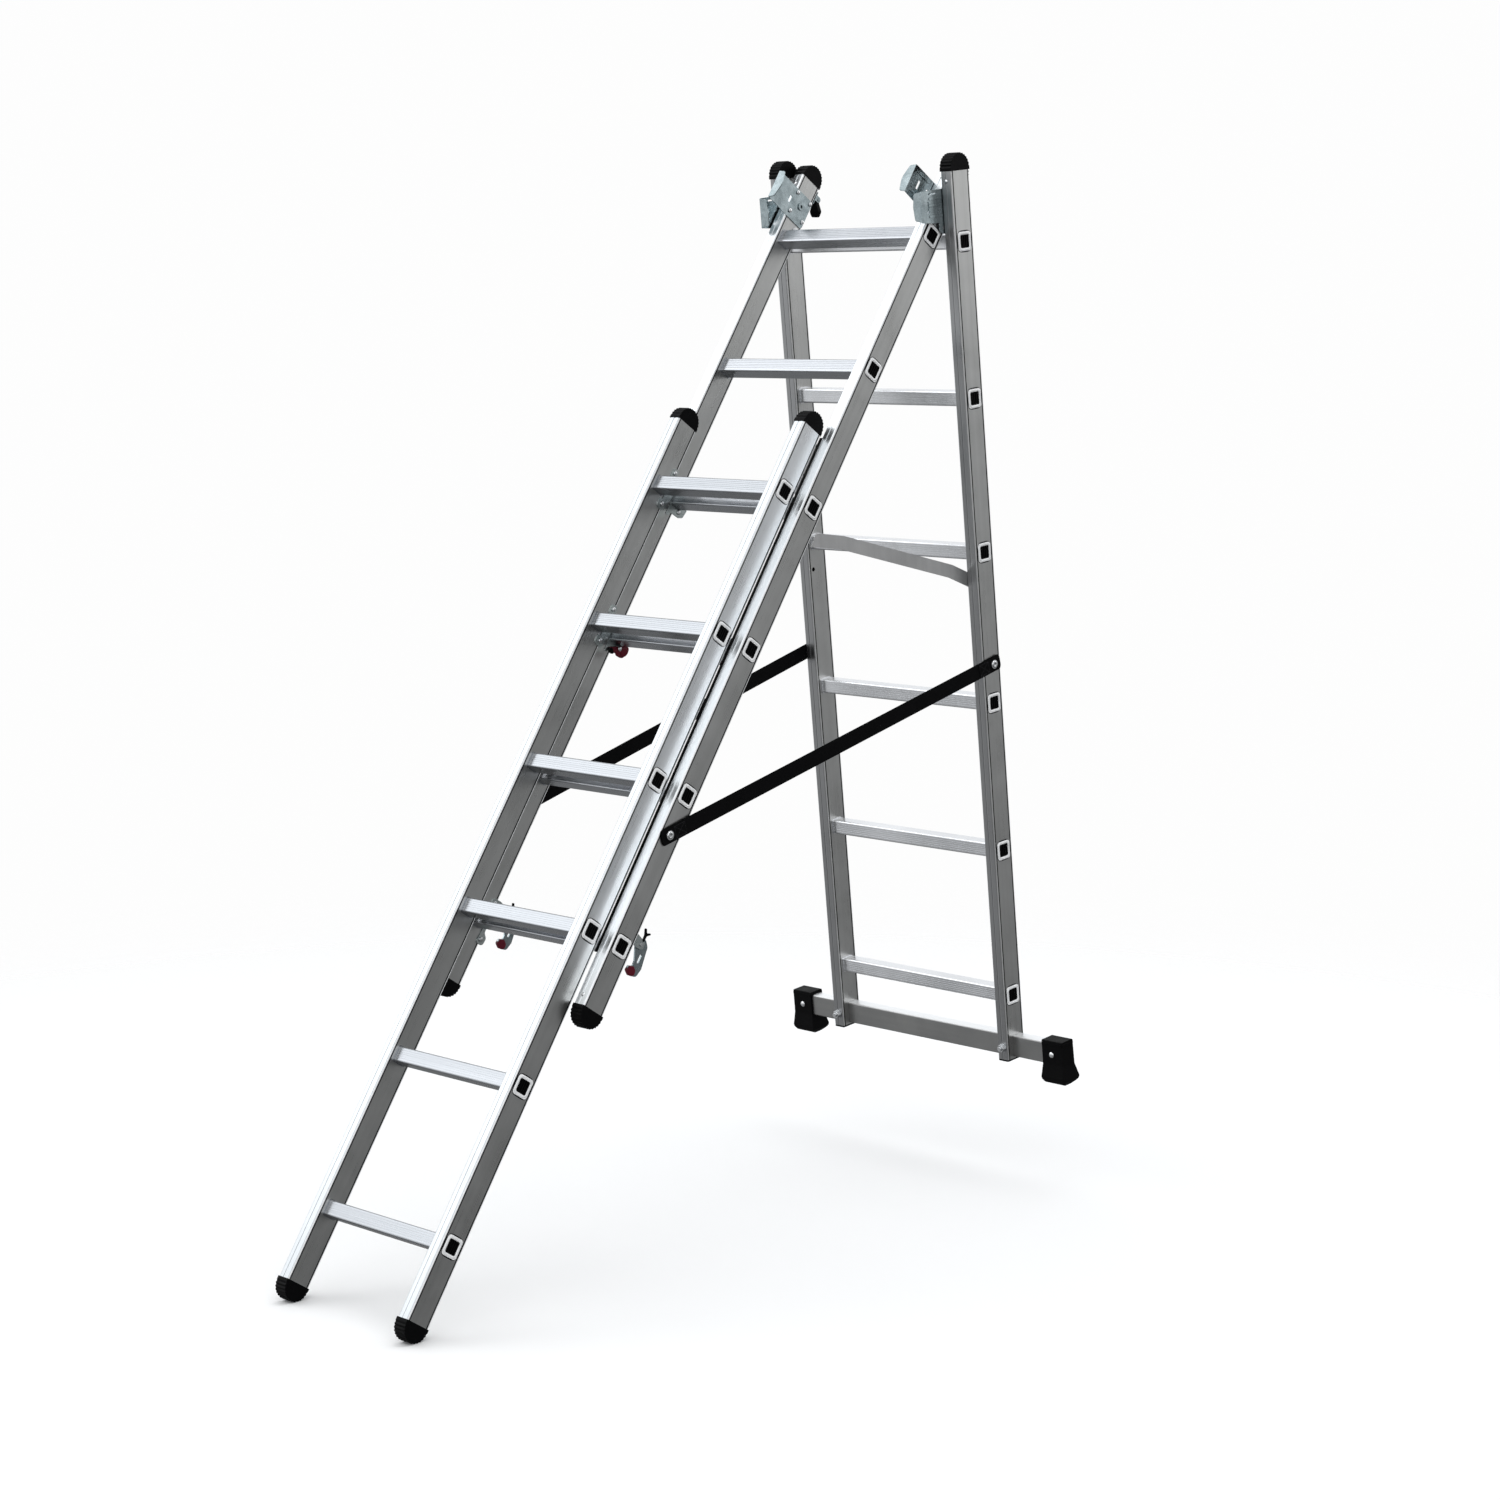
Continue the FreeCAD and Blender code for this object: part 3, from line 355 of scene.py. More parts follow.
def webbing(name):
    """Black polyester webbing: herringbone ribs along the strap, soft sheen."""
    net = Net(name)
    coords = net.place(None, (1, 1, 1), "UV")
    split = net.node("ShaderNodeSeparateXYZ")
    net.link(coords, "Vector", split, "Vector")
    yarn = net.math("MULTIPLY", (split, "Y"), 2 * math.pi * 12)
    yarn = net.math("SINE", (yarn, "Value"), 0.0)
    zig = net.math("PINGPONG", (split, "Y"), 0.125)
    pick = net.math("MULTIPLY", (zig, "Value"), 16.0)
    pick = net.math("ADD", (pick, "Value"), (net.math("MULTIPLY", (split, "X"), 1.0), "Value"))
    pick = net.math("SINE", (net.math("MULTIPLY", (pick, "Value"), 2 * math.pi), "Value"), 0.0)
    weave = net.math("ADD", (net.math("MULTIPLY", (yarn, "Value"), 0.6), "Value"), (pick, "Value"))
    fuzz = net.noise(net.place(), 1400.0, 2.0, 0.6)
    worn = net.noise(net.place(), 26.0, 4.0, 0.6)
    tone = net.math("ADD", (net.spread(weave, "Value", 0.0, 0.6, -1.6, 1.6), "Result"),
                    (net.spread(worn, "Fac", 0.0, 0.4), "Result"))
    colours = ((0.0008, 0.0008, 0.001), (0.003, 0.003, 0.0035))
    net.link(net.tint(tone, "Value", colours), "Color", net.shader, "Base Color")
    net.link(net.spread(fuzz, "Fac", 0.62, 0.86), "Result", net.shader, "Roughness")
    net.set(Sheen_Weight=0.01, Sheen_Roughness=0.5, Specular_IOR_Level=0.05)
    height = net.math("ADD", (weave, "Value"), (net.math("MULTIPLY", (fuzz, "Fac"), 0.5), "Value"))
    net.bump(height, "Value", 0.5, 0.00025)
    return net.material


def floor_finish(name):
    """Pale matt floor that fades into the backdrop."""
    net = Net(name)
    cloud = net.noise(net.place(), 0.6, 3.0, 0.5)
    tint = net.tint(cloud, "Fac", ((0.86, 0.86, 0.86), (0.89, 0.89, 0.89)))
    net.link(tint, "Color", net.shader, "Base Color")
    net.set(Roughness=0.9, Specular_IOR_Level=0.1)
    spot = net.node("ShaderNodeVectorMath", operation="LENGTH")
    net.link(net.node("ShaderNodeTexCoord"), "Object", spot, "Vector")
    fade = net.node("ShaderNodeMapRange", interpolation_type="SMOOTHERSTEP")
    fade.inputs["From Min"].default_value = 1.3
    fade.inputs["From Max"].default_value = 3.6
    fade.inputs["To Min"].default_value = 1.0
    fade.inputs["To Max"].default_value = 0.0
    net.link(spot, "Value", fade, "Value")
    net.link(fade, "Result", net.shader, "Alpha")
    return net.material


SECTIONS = {
    "rear": (REAR, "rear_section", 221.0),
    "middle": (MIDDLE, "middle_section", 191.0),
    "front": (FRONT, "front_section", 165.0),
}
# Rung tones per section are painted light: one aluminium made lighter or darker by section.
RUNG_PAINTED_LIGHT = {
    "rear": ((0.90, 0.91, 0.93), (0.75, 0.76, 0.78)),
    "middle": ((0.56, 0.575, 0.60), (0.47, 0.485, 0.51)),
    "front": ((0.46, 0.475, 0.50), (0.38, 0.395, 0.415)),
}
# Front face tones per section are painted light: one aluminium made lighter or darker by section.
FACE_PAINTED_LIGHT = {
    "rear": (0.36, 0.365, 0.37),
    "middle": (0.86, 0.89, 0.91),
    "front": (0.58, 0.605, 0.625),
}
# painted light colour for the front section's outer side faces
PAINTED_SIDE_LIGHT = (0.95, 0.97, 0.99)
# colour of the painted highlights
PAINTED_HIGHLIGHT_WHITE = (0.93, 0.94, 0.95)
# colour of the painted shade lines and rings
PAINTED_SHADE_DARK = (0.020, 0.021, 0.024)
GROOVE_AT = 20.5 * MM
GROOVE_HALF = 1.1 * MM
PAINTED_HIGHLIGHT_AT = GROOVE_AT + 2.5 * MM
PAINTED_HIGHLIGHT_HALF = 0.9 * MM
# where the painted shadow ring round each rung end lies
SHADOW_RING_AT = 18.2 * MM
SHADOW_RING_HALF = 1.1 * MM
SQUARENESS = 4.0
CENTI = 100.0
alu = {}
for key, (section, body, half) in SECTIONS.items():
    pale, deep = ((0.715, 0.718, 0.71), (0.535, 0.538, 0.528))
    side_light = PAINTED_SIDE_LIGHT if key == "front" else None
    alu[key, "stile"] = drawn_aluminium(
        "stile_aluminium_" + key, section, "z", deep, pale, 0.30, 1.0, "stile", half, FACE_PAINTED_LIGHT[key],
        side_light, 0.25 if key == "rear" else 0.8
    )
    pale, deep = RUNG_PAINTED_LIGHT[key]
    alu[key, "rung"] = drawn_aluminium(
        "rung_aluminium_" + key, section, "x", deep, pale, 0.26, 0.8, "rung", half
    )
bar_alu = drawn_aluminium(
    "bar_aluminium", REAR, "x", (0.30, 0.30, 0.30), (0.40, 0.40, 0.39), 0.36, 1.0, "bar"
)
stay_alu = drawn_aluminium(
    "stay_aluminium", REAR, "z", (0.60, 0.60, 0.60), (0.78, 0.78, 0.78), 0.38, 1.2
)
zinc = zinc_steel("zinc_steel", (0.20, 0.25, 0.265), (0.46, 0.53, 0.55), 0.20)
# a lighter copy of the zinc for the catch plates: painted light where they sit in shade
zinc_painted_light = zinc_steel("zinc_painted_light", (0.42, 0.47, 0.47), (0.68, 0.74, 0.73), 0.24)
bright = zinc_steel("bright_fasteners", (0.66, 0.68, 0.70), (0.90, 0.91, 0.92), 0.18)
black = moulded("black_plastic", (0.0016, 0.0016, 0.0019), 0.42, 1500.0, 0.10)
rubber = moulded("boot_rubber", (0.0016, 0.0016, 0.0018), 0.50, 1100.0, 0.16, 0.0010)
red = moulded("red_plastic", (0.085, 0.002, 0.010), 0.32, 1300.0, 0.05, 0.0008, 0.22, 1.2)
strap_cloth = webbing("strap_webbing")


def cad_finish(name):
    """Finish of a CAD node, by the record's slot and the node's section."""
    slot = slots[name]
    section = name.split("_")[0]
    if name == "stay_bar":
        return stay_alu
    # catch plates take the lighter zinc copy, painted light
    if name.endswith("catch_plates"):
        return zinc_painted_light
    table = {
        "stile_aluminium": alu.get((section, "stile")),
        "rung_aluminium": alu.get((section, "rung")),
        "bar_aluminium": bar_alu,
        "zinc_steel": zinc,
        "bright_fasteners": bright,
        "black_plastic": black,
        "boot_rubber": rubber,
        "red_plastic": red,
        "strap_webbing": strap_cloth,
    }
    return table[slot]


slots = {s["node"]: s["material_slot"] for s in record["subparts"]}
for name, node in nodes.items():
    node.data.materials.clear()
    node.data.materials.append(cad_finish(name))


# ---------------------------------------------------------------- mesh tools
def piece(name, mesh, body, finish, bevel=0.0, sharp=35.0):
    """Links a mesh as a visible piece riding on a body."""
    made = bpy.data.objects.new(name, mesh)
    bpy.context.scene.collection.objects.link(made)
    mesh.materials.append(finish)
    for face in mesh.polygons:
        face.use_smooth = True
    if bevel:
        edge = made.modifiers.new("edge", "BEVEL")
        edge.width = bevel * MM
        edge.segments = 2
        edge.limit_method = "ANGLE"
        edge.angle_limit = math.radians(sharp)
        flat = made.modifiers.new("flat", "WEIGHTED_NORMAL")
        flat.keep_sharp = True
    if body:
        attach(made, body)
    return made


def rounded(points, steps=5):
    """Polygon corners (a, b, radius) turned into arcs."""
    out = []
    count = len(points)
    for i, (a, b, r) in enumerate(points):
        here = Vector((a, b))
        if r == 0:
            out.append(here)
            continue
        back = (Vector(points[i - 1][:2]) - here).normalized()
        ahead = (Vector(points[(i + 1) % count][:2]) - here).normalized()
        half = back.angle(ahead) / 2
        reach = r / math.tan(half)
        centre = here + (back + ahead).normalized() * (r / math.sin(half))
        first = (here + back * reach) - centre
        last = (here + ahead * reach) - centre
        sweep = first.angle_signed(last)
        for k in range(steps + 1):
            turn = Matrix.Rotation(-sweep * k / steps, 2)
            out.append(centre + turn @ first)
    return out


def slab(mesh_points, plane, low, high, section, mirror=1, holes=()):
    """Prism of a rounded outline, in a section's local millimetres."""
    bm = bmesh.new()
    rings = [mesh_points] + [list(h) for h in holes]
    edges = []
    for ring in rings:
        verts = [bm.verts.new((p[0], p[1], 0)) for p in ring]
        edges += [bm.edges.new((verts[i - 1], verts[i])) for i in range(len(verts))]
    bmesh.ops.triangle_fill(bm, use_beauty=True, use_dissolve=False, edges=edges)
    faces = bmesh.ops.extrude_face_region(bm, geom=list(bm.faces))
    moved = [g for g in faces["geom"] if isinstance(g, bmesh.types.BMVert)]
    bmesh.ops.translate(bm, verts=moved, vec=(0, 0, high - low))
    bmesh.ops.dissolve_limit(
        bm, angle_limit=math.radians(0.5), verts=bm.verts, edges=bm.edges, delimit={"NORMAL"}
    )
    for v in bm.verts:
        a, b, level = v.co.x, v.co.y, v.co.z + low
        local = (level, a, b) if plane == "yz" else (a, level, b)
        if plane == "xy":
            local = (a, b, level)
        v.co = section.point(mirror * local[0], local[1], local[2])
    bmesh.ops.recalc_face_normals(bm, faces=bm.faces)
    return bm


def to_mesh(name, *parts):
    """Several bmeshes as one mesh."""
    mesh = bpy.data.meshes.new(name)
    whole = bmesh.new()
    for bm in parts:
        part = bpy.data.meshes.new("part")
        bm.to_mesh(part)
        bm.free()
        whole.from_mesh(part)
        bpy.data.meshes.remove(part)
    whole.to_mesh(mesh)
    whole.free()
    return mesh


def circle(a, b, radius, count=24):
    return [
        Vector((a + radius * math.cos(2 * math.pi * k / count),
                b + radius * math.sin(2 * math.pi * k / count)))
        for k in range(count)
    ]


def lathe(profile, centre, axis, section, mirror=1, count=28):
    """Turned part: profile of (radius, height) along a local axis."""
    bm = bmesh.new()
    axis = Vector(axis).normalized()
    side = axis.orthogonal().normalized()
    other = axis.cross(side)
    rings = []
    for radius, height in profile:
        ring = []
        for k in range(count if radius > 0 else 1):
            angle = 2 * math.pi * k / count
            local = Vector(centre) + axis * height
            local += (side * math.cos(angle) + other * math.sin(angle)) * radius
            ring.append(bm.verts.new(section.point(mirror * local.x, local.y, local.z)))
        rings.append(ring)
    for low, high in zip(rings[:-1], rings[1:]):
        for k in range(count):
            n = (k + 1) % count
            if len(low) == 1:
                bm.faces.new((low[0], high[k], high[n]))
            elif len(high) == 1:
                bm.faces.new((low[k], high[0], low[n]))
            else:
                bm.faces.new((low[k], high[k], high[n], low[n]))
    bmesh.ops.recalc_face_normals(bm, faces=bm.faces)
    return bm


def dome(radius, height, base=0.0, steps=6):
    """Profile of a rivet head."""
    points = [(radius, base - 0.2)]
    for k in range(steps + 1):
        angle = math.pi / 2 * k / steps
        points.append((radius * math.cos(angle), base + height * math.sin(angle)))
    points[-1] = (0, base + height)
    return points


# ---------------------------------------------------------------- straps
STRAP_W = 28.5
STRAP_TAIL = 19.0
TIP_ROUND = 6.0
STRAP_STEP = 3.0
HALF_THICK = 0.55
RIB_PITCH = 4.0
RIB_HIGH = 0.07
HEM_W = 2.2
HEM_HIGH = 0.10
WEAVE = 3.2
TAB_HALF = 12.6
TAB_ENDS = (-17.0, 40.0)
TAB_LAYER = (0.5, 1.35)
BOLT_HOLE = 4.4
STITCH = 2.8
STRAP_ENDS = {"rear": (223.4, 2.0, -768.0), "middle": (193.0, -4.0, -1195.4)}


def strap(side):
    """Webbing strap, sewn double at both ends."""
    m = SIDES[side]
    start = REAR.point(m * STRAP_ENDS["rear"][0], *STRAP_ENDS["rear"][1:])
    end = MIDDLE.point(m * STRAP_ENDS["middle"][0], *STRAP_ENDS["middle"][1:])
    run = end - start
    length = run.length / MM
    along = run.normalized()
    across = Vector((1, 0, 0)).cross(along).normalized()
    out = along.cross(across).normalized()
    if out.x * m < 0:
        out = -out
    columns = int((length + 2 * STRAP_TAIL) / STRAP_STEP)
    rows = 16
    grid = {}
    bm = bmesh.new()
    uv = bm.loops.layers.uv.new("weave")
    for face in (1, -1):
        for i in range(columns + 1):
            u = -STRAP_TAIL + (length + 2 * STRAP_TAIL) * i / columns
            tip = min(u + STRAP_TAIL, length + STRAP_TAIL - u)
            narrow = 0.0
            if tip <= TIP_ROUND:
                narrow = TIP_ROUND - math.sqrt(max(0, TIP_ROUND ** 2 - (TIP_ROUND - tip) ** 2))
            for j in range(rows + 1):
                v = (j / rows - 0.5) * (STRAP_W - 2 * narrow)
                edge = 1 - (2 * abs(j / rows - 0.5)) ** 6 * 0.5
                rib = RIB_HIGH * math.cos(2 * math.pi * v / RIB_PITCH)
                hem = HEM_HIGH if STRAP_W / 2 - abs(v) < HEM_W else 0.0
                t = (HALF_THICK + rib + hem) * edge * face
                p = start + along * (u * MM) + across * (v * MM) + out * (t * MM)
                grid[face, i, j] = (bm.verts.new(p), u / WEAVE, v / STRAP_W + 0.5)

    def add(*corners):
        made = bm.faces.new([c[0] for c in corners])
        for loop, corner in zip(made.loops, corners):
            loop[uv].uv = (corner[1], corner[2])

    for i in range(columns):
        for j in range(rows):
            add(grid[1, i, j], grid[1, i + 1, j], grid[1, i + 1, j + 1], grid[1, i, j + 1])
            add(grid[-1, i, j + 1], grid[-1, i + 1, j + 1], grid[-1, i + 1, j], grid[-1, i, j])
        for j in (0, rows):
            add(grid[1, i, j], grid[-1, i, j], grid[-1, i + 1, j], grid[1, i + 1, j])
    for j in range(rows):
        for i in (0, columns):
            add(grid[1, i, j], grid[1, i, j + 1], grid[-1, i, j + 1], grid[-1, i, j])
    bmesh.ops.recalc_face_normals(bm, faces=bm.faces)
    mesh = bpy.data.meshes.new("strap_" + side)
    bm.to_mesh(mesh)
    bm.free()
    made = piece("webbing_" + side, mesh, None, strap_cloth)
    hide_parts("strap_" + side)
    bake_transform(made)
    for body, centre, way in (("rear_section", start, 1), ("middle_section", end, -1)):
        strap_end(side, body, centre, along * way, across, out)
    return made


def strap_end(side, body, centre, inward, across, out):
    """Sewn tab: a second layer with a bolt hole and box stitching."""
    patch = Patch(Matrix((
        (inward.x, across.x, out.x, centre.x),
        (inward.y, across.y, out.y, centre.y),
        (inward.z, across.z, out.z, centre.z),
        (0, 0, 0, 1),
    )))
    outline = rounded([
        (TAB_ENDS[0], -TAB_HALF, 7), (TAB_ENDS[1], -TAB_HALF, 1.5),
        (TAB_ENDS[1], TAB_HALF, 1.5), (TAB_ENDS[0], TAB_HALF, 7),
    ])
    layer = slab(outline, "xy", *TAB_LAYER, patch, 1, [circle(0, 0, BOLT_HOLE)])
    name = body.split("_")[0] + "_" + side
    tab = piece("strap_tab_" + name, to_mesh("tab", layer), body, strap_cloth, 0.25)
    uv = tab.data.uv_layers.new(name="weave")
    back = patch.matrix.inverted()
    for loop in tab.data.loops:
        local = (back @ tab.data.vertices[loop.vertex_index].co) / MM
        uv.data[loop.index].uv = (local.x / WEAVE, local.y / STRAP_W + 0.5)
    stitches = bmesh.new()
    box = [(14, -10), (37.5, -10), (37.5, 10), (14, 10)]
    path = box + [box[0], box[2], box[1], box[3]]
    for a, b in zip(path[:-1], path[1:]):
        a, b = Vector(a), Vector(b)
        count = max(1, int((b - a).length / STITCH))
        heading = (b - a).normalized()
        for k in range(count):
            mid = a + (b - a) * ((k + 0.5) / count)
            add_stitch(stitches, patch, mid, heading)
    mesh = bpy.data.meshes.new("stitches")
    stitches.to_mesh(mesh)
    stitches.free()
    piece("strap_stitches_" + name, mesh, body, thread)


def add_stitch(bm, patch, mid, heading):
    """One thread float, a low rounded bead."""
    side = Vector((-heading.y, heading.x))
    rings = []
    for s, w in ((-1.0, 0.12), (-0.6, 0.3), (0.6, 0.3), (1.0, 0.12)):
        ring = []
        for k in range(6):
            angle = math.pi * k / 5
            p = mid + heading * s + side * (w * math.cos(angle))
            ring.append(bm.verts.new(patch.point(p.x, p.y, 1.25 + w * math.sin(angle))))
        rings.append(ring)
    for a, b in zip(rings[:-1], rings[1:]):
        for k in range(5):
            bm.faces.new((a[k], b[k], b[k + 1], a[k + 1]))
        bm.faces.new((a[5], b[5], b[0], a[0]))
    bm.faces.new(rings[0])
    bm.faces.new(rings[-1][::-1])


thread = moulded("strap_thread", (0.035, 0.035, 0.038), 0.7, 2400.0, 0.3, 0.0001)
for side in SIDES:
    strap(side)

# ---------------------------------------------------------------- small steel
# strap bolts: pressed washer and dished pan head
for section, body, face, y, z in (
    (REAR, "rear_section", 227.0, 2.0, -768.0),
    (MIDDLE, "middle_section", 196.4, -4.0, -1195.4),
):
    for side, m in SIDES.items():
        head = lathe(
            [(0, -1.6), (1.9, -1.6), (2.0, 0.9), (4.2, 1.6), (6.2, 0.9), (7.2, -0.4), (7.3, -1.0)],
            (face, y, z), (1, 0, 0), section, m,
        )
        mesh = to_mesh("head", head)
        name = "strap_bolt_head_" + body.split("_")[0] + "_" + side
        piece(name, mesh, body, bright, 0.2, 30)

# domed rivet heads over the flat CAD heads
REAR_DOMES = [(y, z, 192.7, 3.9) for y in (-16.0, 14.0) for z in (50.0, 86.0)]
MIDDLE_DOMES = [(y, z, 163.6, 3.9) for y in (-20.3, 18.3) for z in (51.0, 90.8)]
MIDDLE_DOMES += [(18.0, -1363.0, 163.2, 3.9), (22.0, -1430.0, 163.2, 3.9)]
MIDDLE_DOMES += [(11.7, -578.4, 137.4, 3.9), (11.7, -858.4, 131.4, 3.9)]
FRONT_DOMES = [(y, z - k * PITCH, 137.6, 3.9) for y, z in ((19.0, 36.0), (20.0, -26.5)) for k in (0, 1)]


def domes(name, section, body, heads, height=1.1):
    parts = []
    for y, z, x, radius in heads:
        for m in SIDES.values():
            parts.append(lathe(dome(radius, height), (x, y, z), (-1, 0, 0), section, m, 20))
    piece(name, to_mesh(name, *parts), body, bright)


domes("rear_rivet_domes", REAR, "rear_section", REAR_DOMES, 0.7)
domes("middle_rivet_domes", MIDDLE, "middle_section", MIDDLE_DOMES)
domes("front_rivet_domes", FRONT, "front_section", FRONT_DOMES)


def front_studs(name, section, body, spots, face, radius=2.6, height=1.2, sides=(1, -1)):
    """Small rivets on front faces, set in a shallow ring."""
    parts = []
    for x, z in spots:
        for m in sides:
            profile = [(radius + 0.9, -0.1), (radius + 0.8, 0.25)]
            profile += dome(radius, height, 0.2)[1:]
            parts.append(lathe(profile, (x, face, z), (0, -1, 0), section, m, 20))
    piece(name, to_mesh(name, *parts), body, bright)


front_studs("rear_cap_rivets", REAR, "rear_section", [(209.0, 107.0)], -25.0)
front_studs("middle_cap_rivets", MIDDLE, "middle_section", [(179.0, 109.0), (179.0, -1500.0)], -25.0)
front_studs("boot_rivet_domes", REAR, "rear_section", [(316.5, -1499.5)], -13.6, 4.6, 1.4)

# ---------------------------------------------------------------- rung rims
RIM_IN = 12.3
RIM_OUT = 17.1
RIM_HIGH = 1.1


def rim(section, x, z, m):
    """Rolled bead round one rung end, a half round lip on a rounded square."""
    bm = bmesh.new()
    rings = []
    arc = 7
    for k in range(arc + 1):
        angle = math.pi * k / arc
        size = (RIM_IN + RIM_OUT) / 2 - (RIM_OUT - RIM_IN) / 2 * math.cos(angle)
        rise = 0.8 + RIM_HIGH * math.sin(angle)
        radius = 5.2 + (size - RIM_IN) * 0.9
        corners = rounded([(-size, -size, radius), (size, -size, radius),
                           (size, size, radius), (-size, size, radius)], 5)
        rings.append([
            bm.verts.new(section.point(m * (x + rise), p.x, p.y + z)) for p in corners
        ])
    for inner, outer in zip(rings[:-1], rings[1:]):
        for i in range(len(inner)):
            bm.faces.new((inner[i - 1], inner[i], outer[i], outer[i - 1]))
    first, last = rings[0], rings[-1]
    for i in range(len(first)):
        bm.faces.new((first[i], first[i - 1], last[i - 1], last[i]))
    bmesh.ops.recalc_face_normals(bm, faces=bm.faces)
    return bm


# painted highlight: the rim beads are near white and partly metallic so they read bright from every
# side
rim_painted_highlight = zinc_steel("rims_painted_highlight", (0.78, 0.79, 0.80), (0.94, 0.945, 0.95), 0.30)
rim_painted_highlight.node_tree.nodes["Principled BSDF"].inputs["Metallic"].default_value = 0.35
for key, (section, body, half) in SECTIONS.items():
    parts = [rim(section, half, -PITCH * k, m) for k in range(6) for m in (1, -1)]
    piece("rung_rims_" + key, to_mesh("rims", *parts), body, rim_painted_highlight)

# ---------------------------------------------------------------- catches
CATCH_BASE = -3 * PITCH
CATCH_BODY = [
    (13.5, -15.2, 1.0), (6.5, -16.6, 3.0), (1.5, -19.6, 3.0), (-3.0, -22.4, 3.0), (-7.0, -25.0, 3.0),
    (-7.4, -31.0, 4.0), (2.0, -33.0, 4.0), (9.0, -27.5, 2.0), (14.5, -31.0, 4.5),
    (27.5, -29.5, 8.0), (35.5, -16.0, 8.0), (33.0, -5.0, 5.0), (22.0, -5.0, 4.0),
    (15.8, -8.5, 2.0), (15.4, -14.4, 0.8),
]
CATCH_FOOT = [
    (-8.0, -24.8, 3.0), (-2.0, -25.5, 2.0), (1.5, -29.0, 2.0), (4.3, -33.8, 2.0),
    (-3.0, -34.4, 3.0), (-7.5, -33.4, 3.0),
]
LOBES = ((25.3, -17.3, 8.6), (11.7, -22.6, 7.0))

for side, m in SIDES.items():
    body = "safety_catch_" + side
    outline = rounded([(a, b + CATCH_BASE, r) for a, b, r in CATCH_BODY])
    parts = [slab(outline, "yz", 134.2, 138.5, MIDDLE, m)]
    for y, z, radius in LOBES:
        profile = [(0, -1.2), (radius - 1.6, -1.2), (radius - 0.5, -0.8), (radius, 0.2)]
        profile += [(radius, 1.6), (0, 1.6)]
        parts.append(lathe(profile, (134.2, y, z + CATCH_BASE), (1, 0, 0), MIDDLE, m, 28))
    grip = piece("catch_grip_" + side, to_mesh("grip", *parts), body, red, 0.5, 40)
    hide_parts(body)
    outline = rounded([(a, b + CATCH_BASE, r) for a, b, r in CATCH_FOOT])
    foot = slab(outline, "yz", 133.0, 138.4, MIDDLE, m)
    piece("catch_foot_" + side, to_mesh("foot", foot), body, black, 0.5)

# red tips and spring pegs on the lower hooks
HOOK_BASE = -5 * PITCH
for side, m in SIDES.items():
    tip = rounded([
        (58.5, HOOK_BASE - 11.5, 2.5), (68.0, HOOK_BASE - 8.5, 3.0), (76.0, HOOK_BASE - 14.0, 4.0),
        (77.0, HOOK_BASE - 23.0, 5.0), (66.5, HOOK_BASE - 26.6, 5.0), (56.2, HOOK_BASE - 20.8, 3.5),
    ])
    parts = [slab(tip, "yz", 159.0, 166.2, MIDDLE, m)]
    piece("hook_tip_" + side, to_mesh("tip", *parts), "lower_hook_" + side, red, 1.2)
    stem = rounded([
        (61.5, HOOK_BASE + 36.0, 0.5), (65.0, HOOK_BASE + 35.0, 0.5), (66.0, HOOK_BASE + 46.0, 2.0),
        (73.0, HOOK_BASE + 51.5, 1.2), (71.6, HOOK_BASE + 54.0, 1.2), (63.5, HOOK_BASE + 50.5, 2.0),
        (59.0, HOOK_BASE + 57.5, 1.2), (56.4, HOOK_BASE + 56.0, 1.2), (61.5, HOOK_BASE + 46.0, 2.0),
    ])
    peg = slab(stem, "yz", 164.6, 168.4, MIDDLE, m)
    piece("hook_peg_" + side, to_mesh("peg", peg), "middle_section", black, 0.5)

# ---------------------------------------------------------------- guide strips, black strips that also stand in for the shadow gap
for side, m in SIDES.items():
    strip = rounded([(163.6, -26.2, 0.5), (169.0, -26.2, 0.5), (169.0, -25.0, 0), (163.6, -25.0, 0)])
    run = slab(strip, "xy", -1425.0, -436.0, MIDDLE, m)
    piece("guide_strip_and_gap_shade_" + side, to_mesh("strip", run), "middle_section", black)

# ---------------------------------------------------------------- stage
floor_mesh = bpy.data.meshes.new("floor")
bm = bmesh.new()
bmesh.ops.create_grid(bm, x_segments=2, y_segments=2, size=3.7)
bm.to_mesh(floor_mesh)
bm.free()
floor = bpy.data.objects.new("floor", floor_mesh)
bpy.context.scene.collection.objects.link(floor)
floor_mesh.materials.append(floor_finish("floor_finish"))
floor.visible_glossy = False

world = bpy.data.worlds.new("studio")
bpy.context.scene.world = world
world.use_nodes = True
tree = world.node_tree
tree.nodes.clear()


def world_node(kind, **values):
    made = tree.nodes.new(kind)
    for key, value in values.items():
        setattr(made, key, value)
    return made


def ramp(source, out, low, high, start, end):
    made = world_node("ShaderNodeMapRange", interpolation_type="SMOOTHSTEP")
    for slot, value in (("From Min", start), ("From Max", end), ("To Min", low), ("To Max", high)):
        made.inputs[slot].default_value = value
    tree.links.new(source.outputs[out], made.inputs["Value"])
    return made


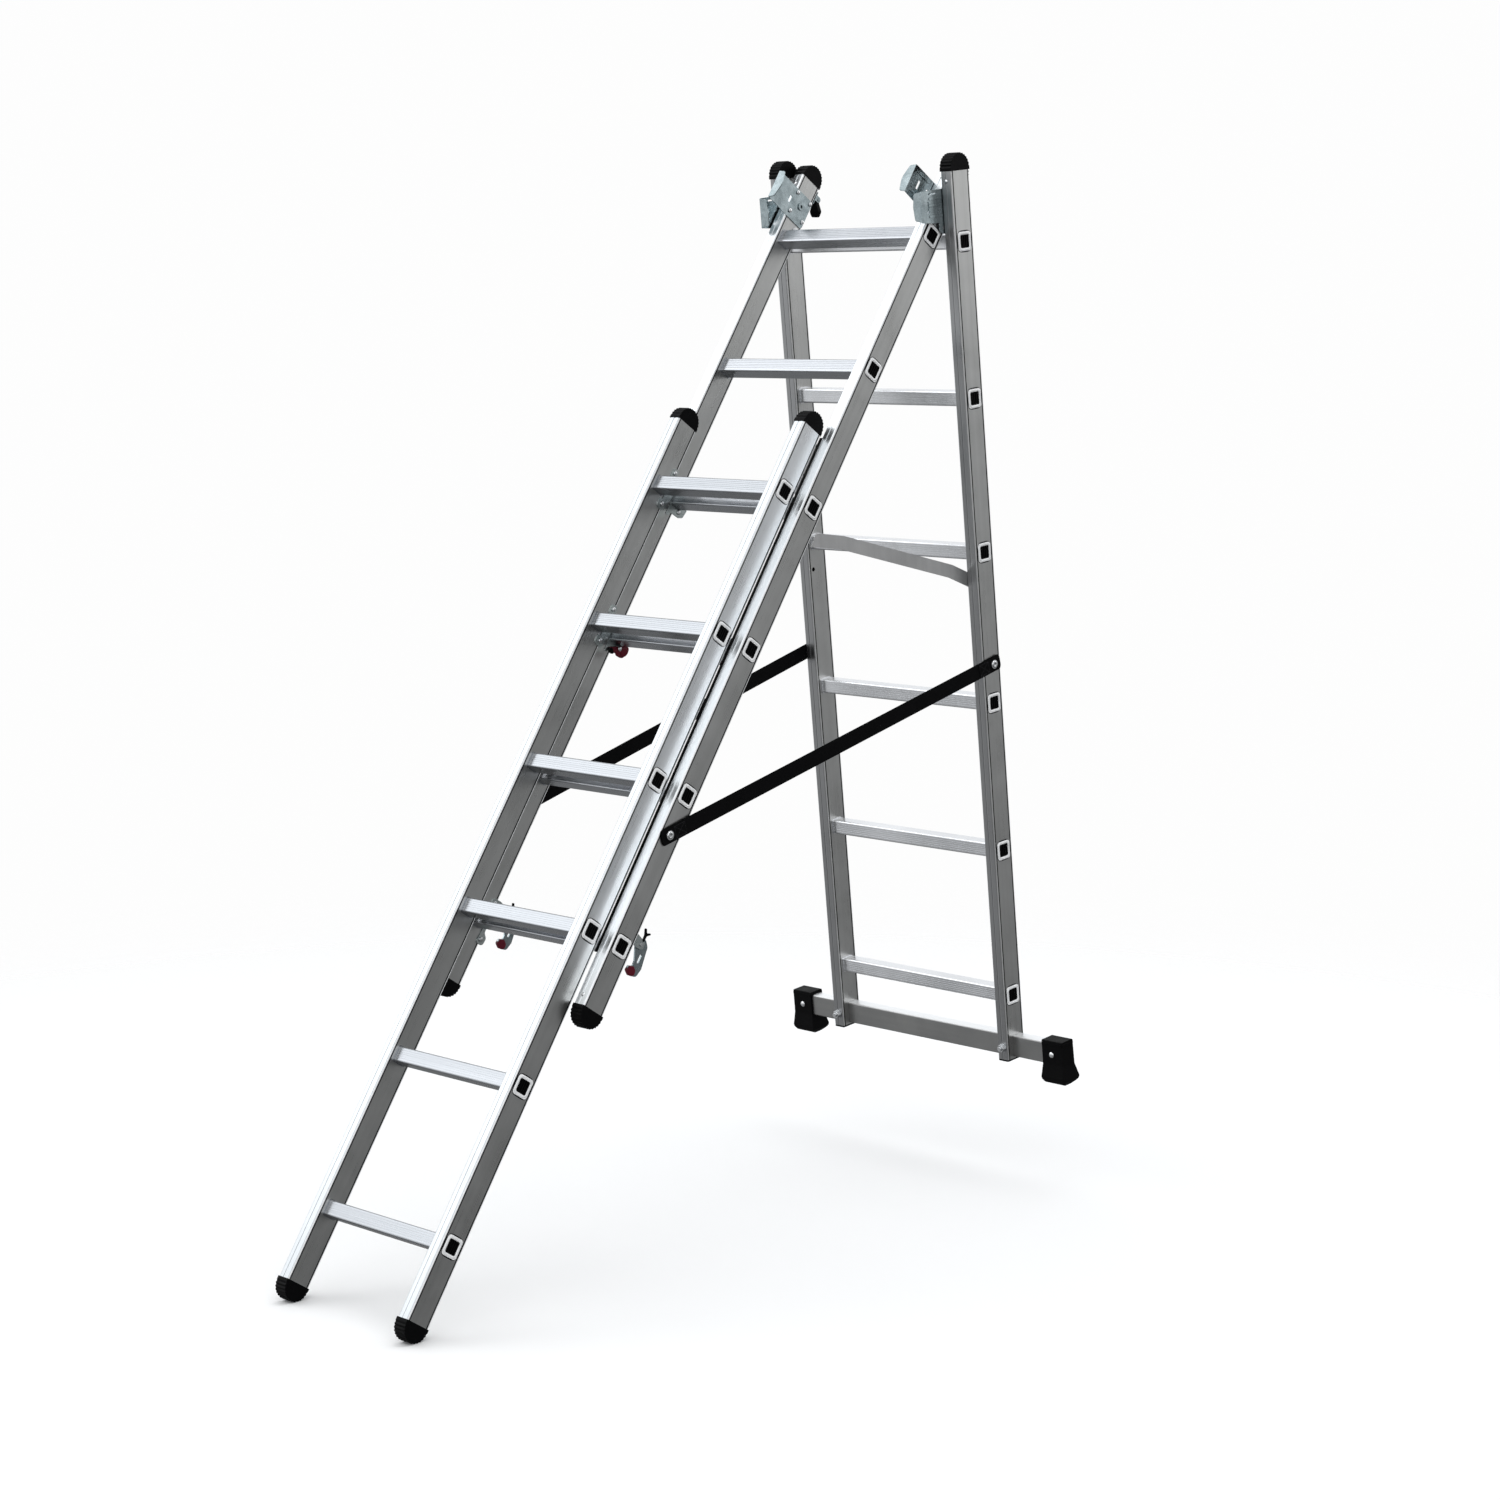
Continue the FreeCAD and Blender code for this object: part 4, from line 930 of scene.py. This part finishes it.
coords = world_node("ShaderNodeTexCoord")
toward = world_node("ShaderNodeVectorMath", operation="DOT_PRODUCT")
toward.inputs[1].default_value = Vector((-0.72, -0.42, 0.55)).normalized()
tree.links.new(coords.outputs["Generated"], toward.inputs[0])
around = ramp(toward, "Value", 0.42, 1.15, -0.85, 0.95)
split = world_node("ShaderNodeSeparateXYZ")
tree.links.new(coords.outputs["Generated"], split.inputs[0])
below = ramp(split, "Z", 0.30, 1.0, -0.36, 0.08)
level = world_node("ShaderNodeMath", operation="MULTIPLY")
tree.links.new(around.outputs["Result"], level.inputs[0])
tree.links.new(below.outputs["Result"], level.inputs[1])
lit = world_node("ShaderNodeBackground")
lit.inputs["Color"].default_value = (0.97, 0.985, 1.0, 1)
tree.links.new(level.outputs["Value"], lit.inputs["Strength"])
plain = world_node("ShaderNodeBackground")
plain.inputs["Color"].default_value = (0.985, 0.985, 0.985, 1)
rays = world_node("ShaderNodeLightPath")
mix = world_node("ShaderNodeMixShader")
tree.links.new(rays.outputs["Is Camera Ray"], mix.inputs["Fac"])
tree.links.new(lit.outputs[0], mix.inputs[1])
tree.links.new(plain.outputs[0], mix.inputs[2])
sky = world_node("ShaderNodeOutputWorld")
tree.links.new(mix.outputs[0], sky.inputs["Surface"])


def softbox(name, place, aim, size, power, colour=(1, 1, 1)):
    light = bpy.data.lights.new(name, "AREA")
    light.shape = "RECTANGLE"
    light.size, light.size_y = size
    light.energy = power
    light.color = colour
    made = bpy.data.objects.new(name, light)
    bpy.context.scene.collection.objects.link(made)
    made.location = place
    made.rotation_euler = (Vector(aim) - Vector(place)).to_track_quat("-Z", "Y").to_euler()


AIM = (0, 0, 0.9)
softbox("key", (-4.2, -3.4, 4.6), AIM, (4.0, 4.0), 62, (0.965, 0.985, 1.0))
softbox("top", (0.4, 0.6, 5.2), AIM, (4.0, 4.0), 60)
softbox("fill", (4.5, -2.0, 2.6), AIM, (3.0, 3.0), 34)
softbox("back", (2.0, 5.0, 3.0), AIM, (4.0, 2.5), 24)

bpy.context.scene.view_settings.view_transform = "Standard"

# ---------------------------------------------------------------- camera
camera = bpy.data.cameras.new("camera")
camera.sensor_width = 36.0
camera.lens = 74.67
camera.clip_end = 200.0
view = bpy.data.objects.new("camera", camera)
bpy.context.scene.collection.objects.link(view)
view.location = (3.8492, -3.7540, 1.5916)
view.rotation_euler = (math.radians(90 - 7.73), 0, math.radians(44.14))
bpy.context.scene.camera = view
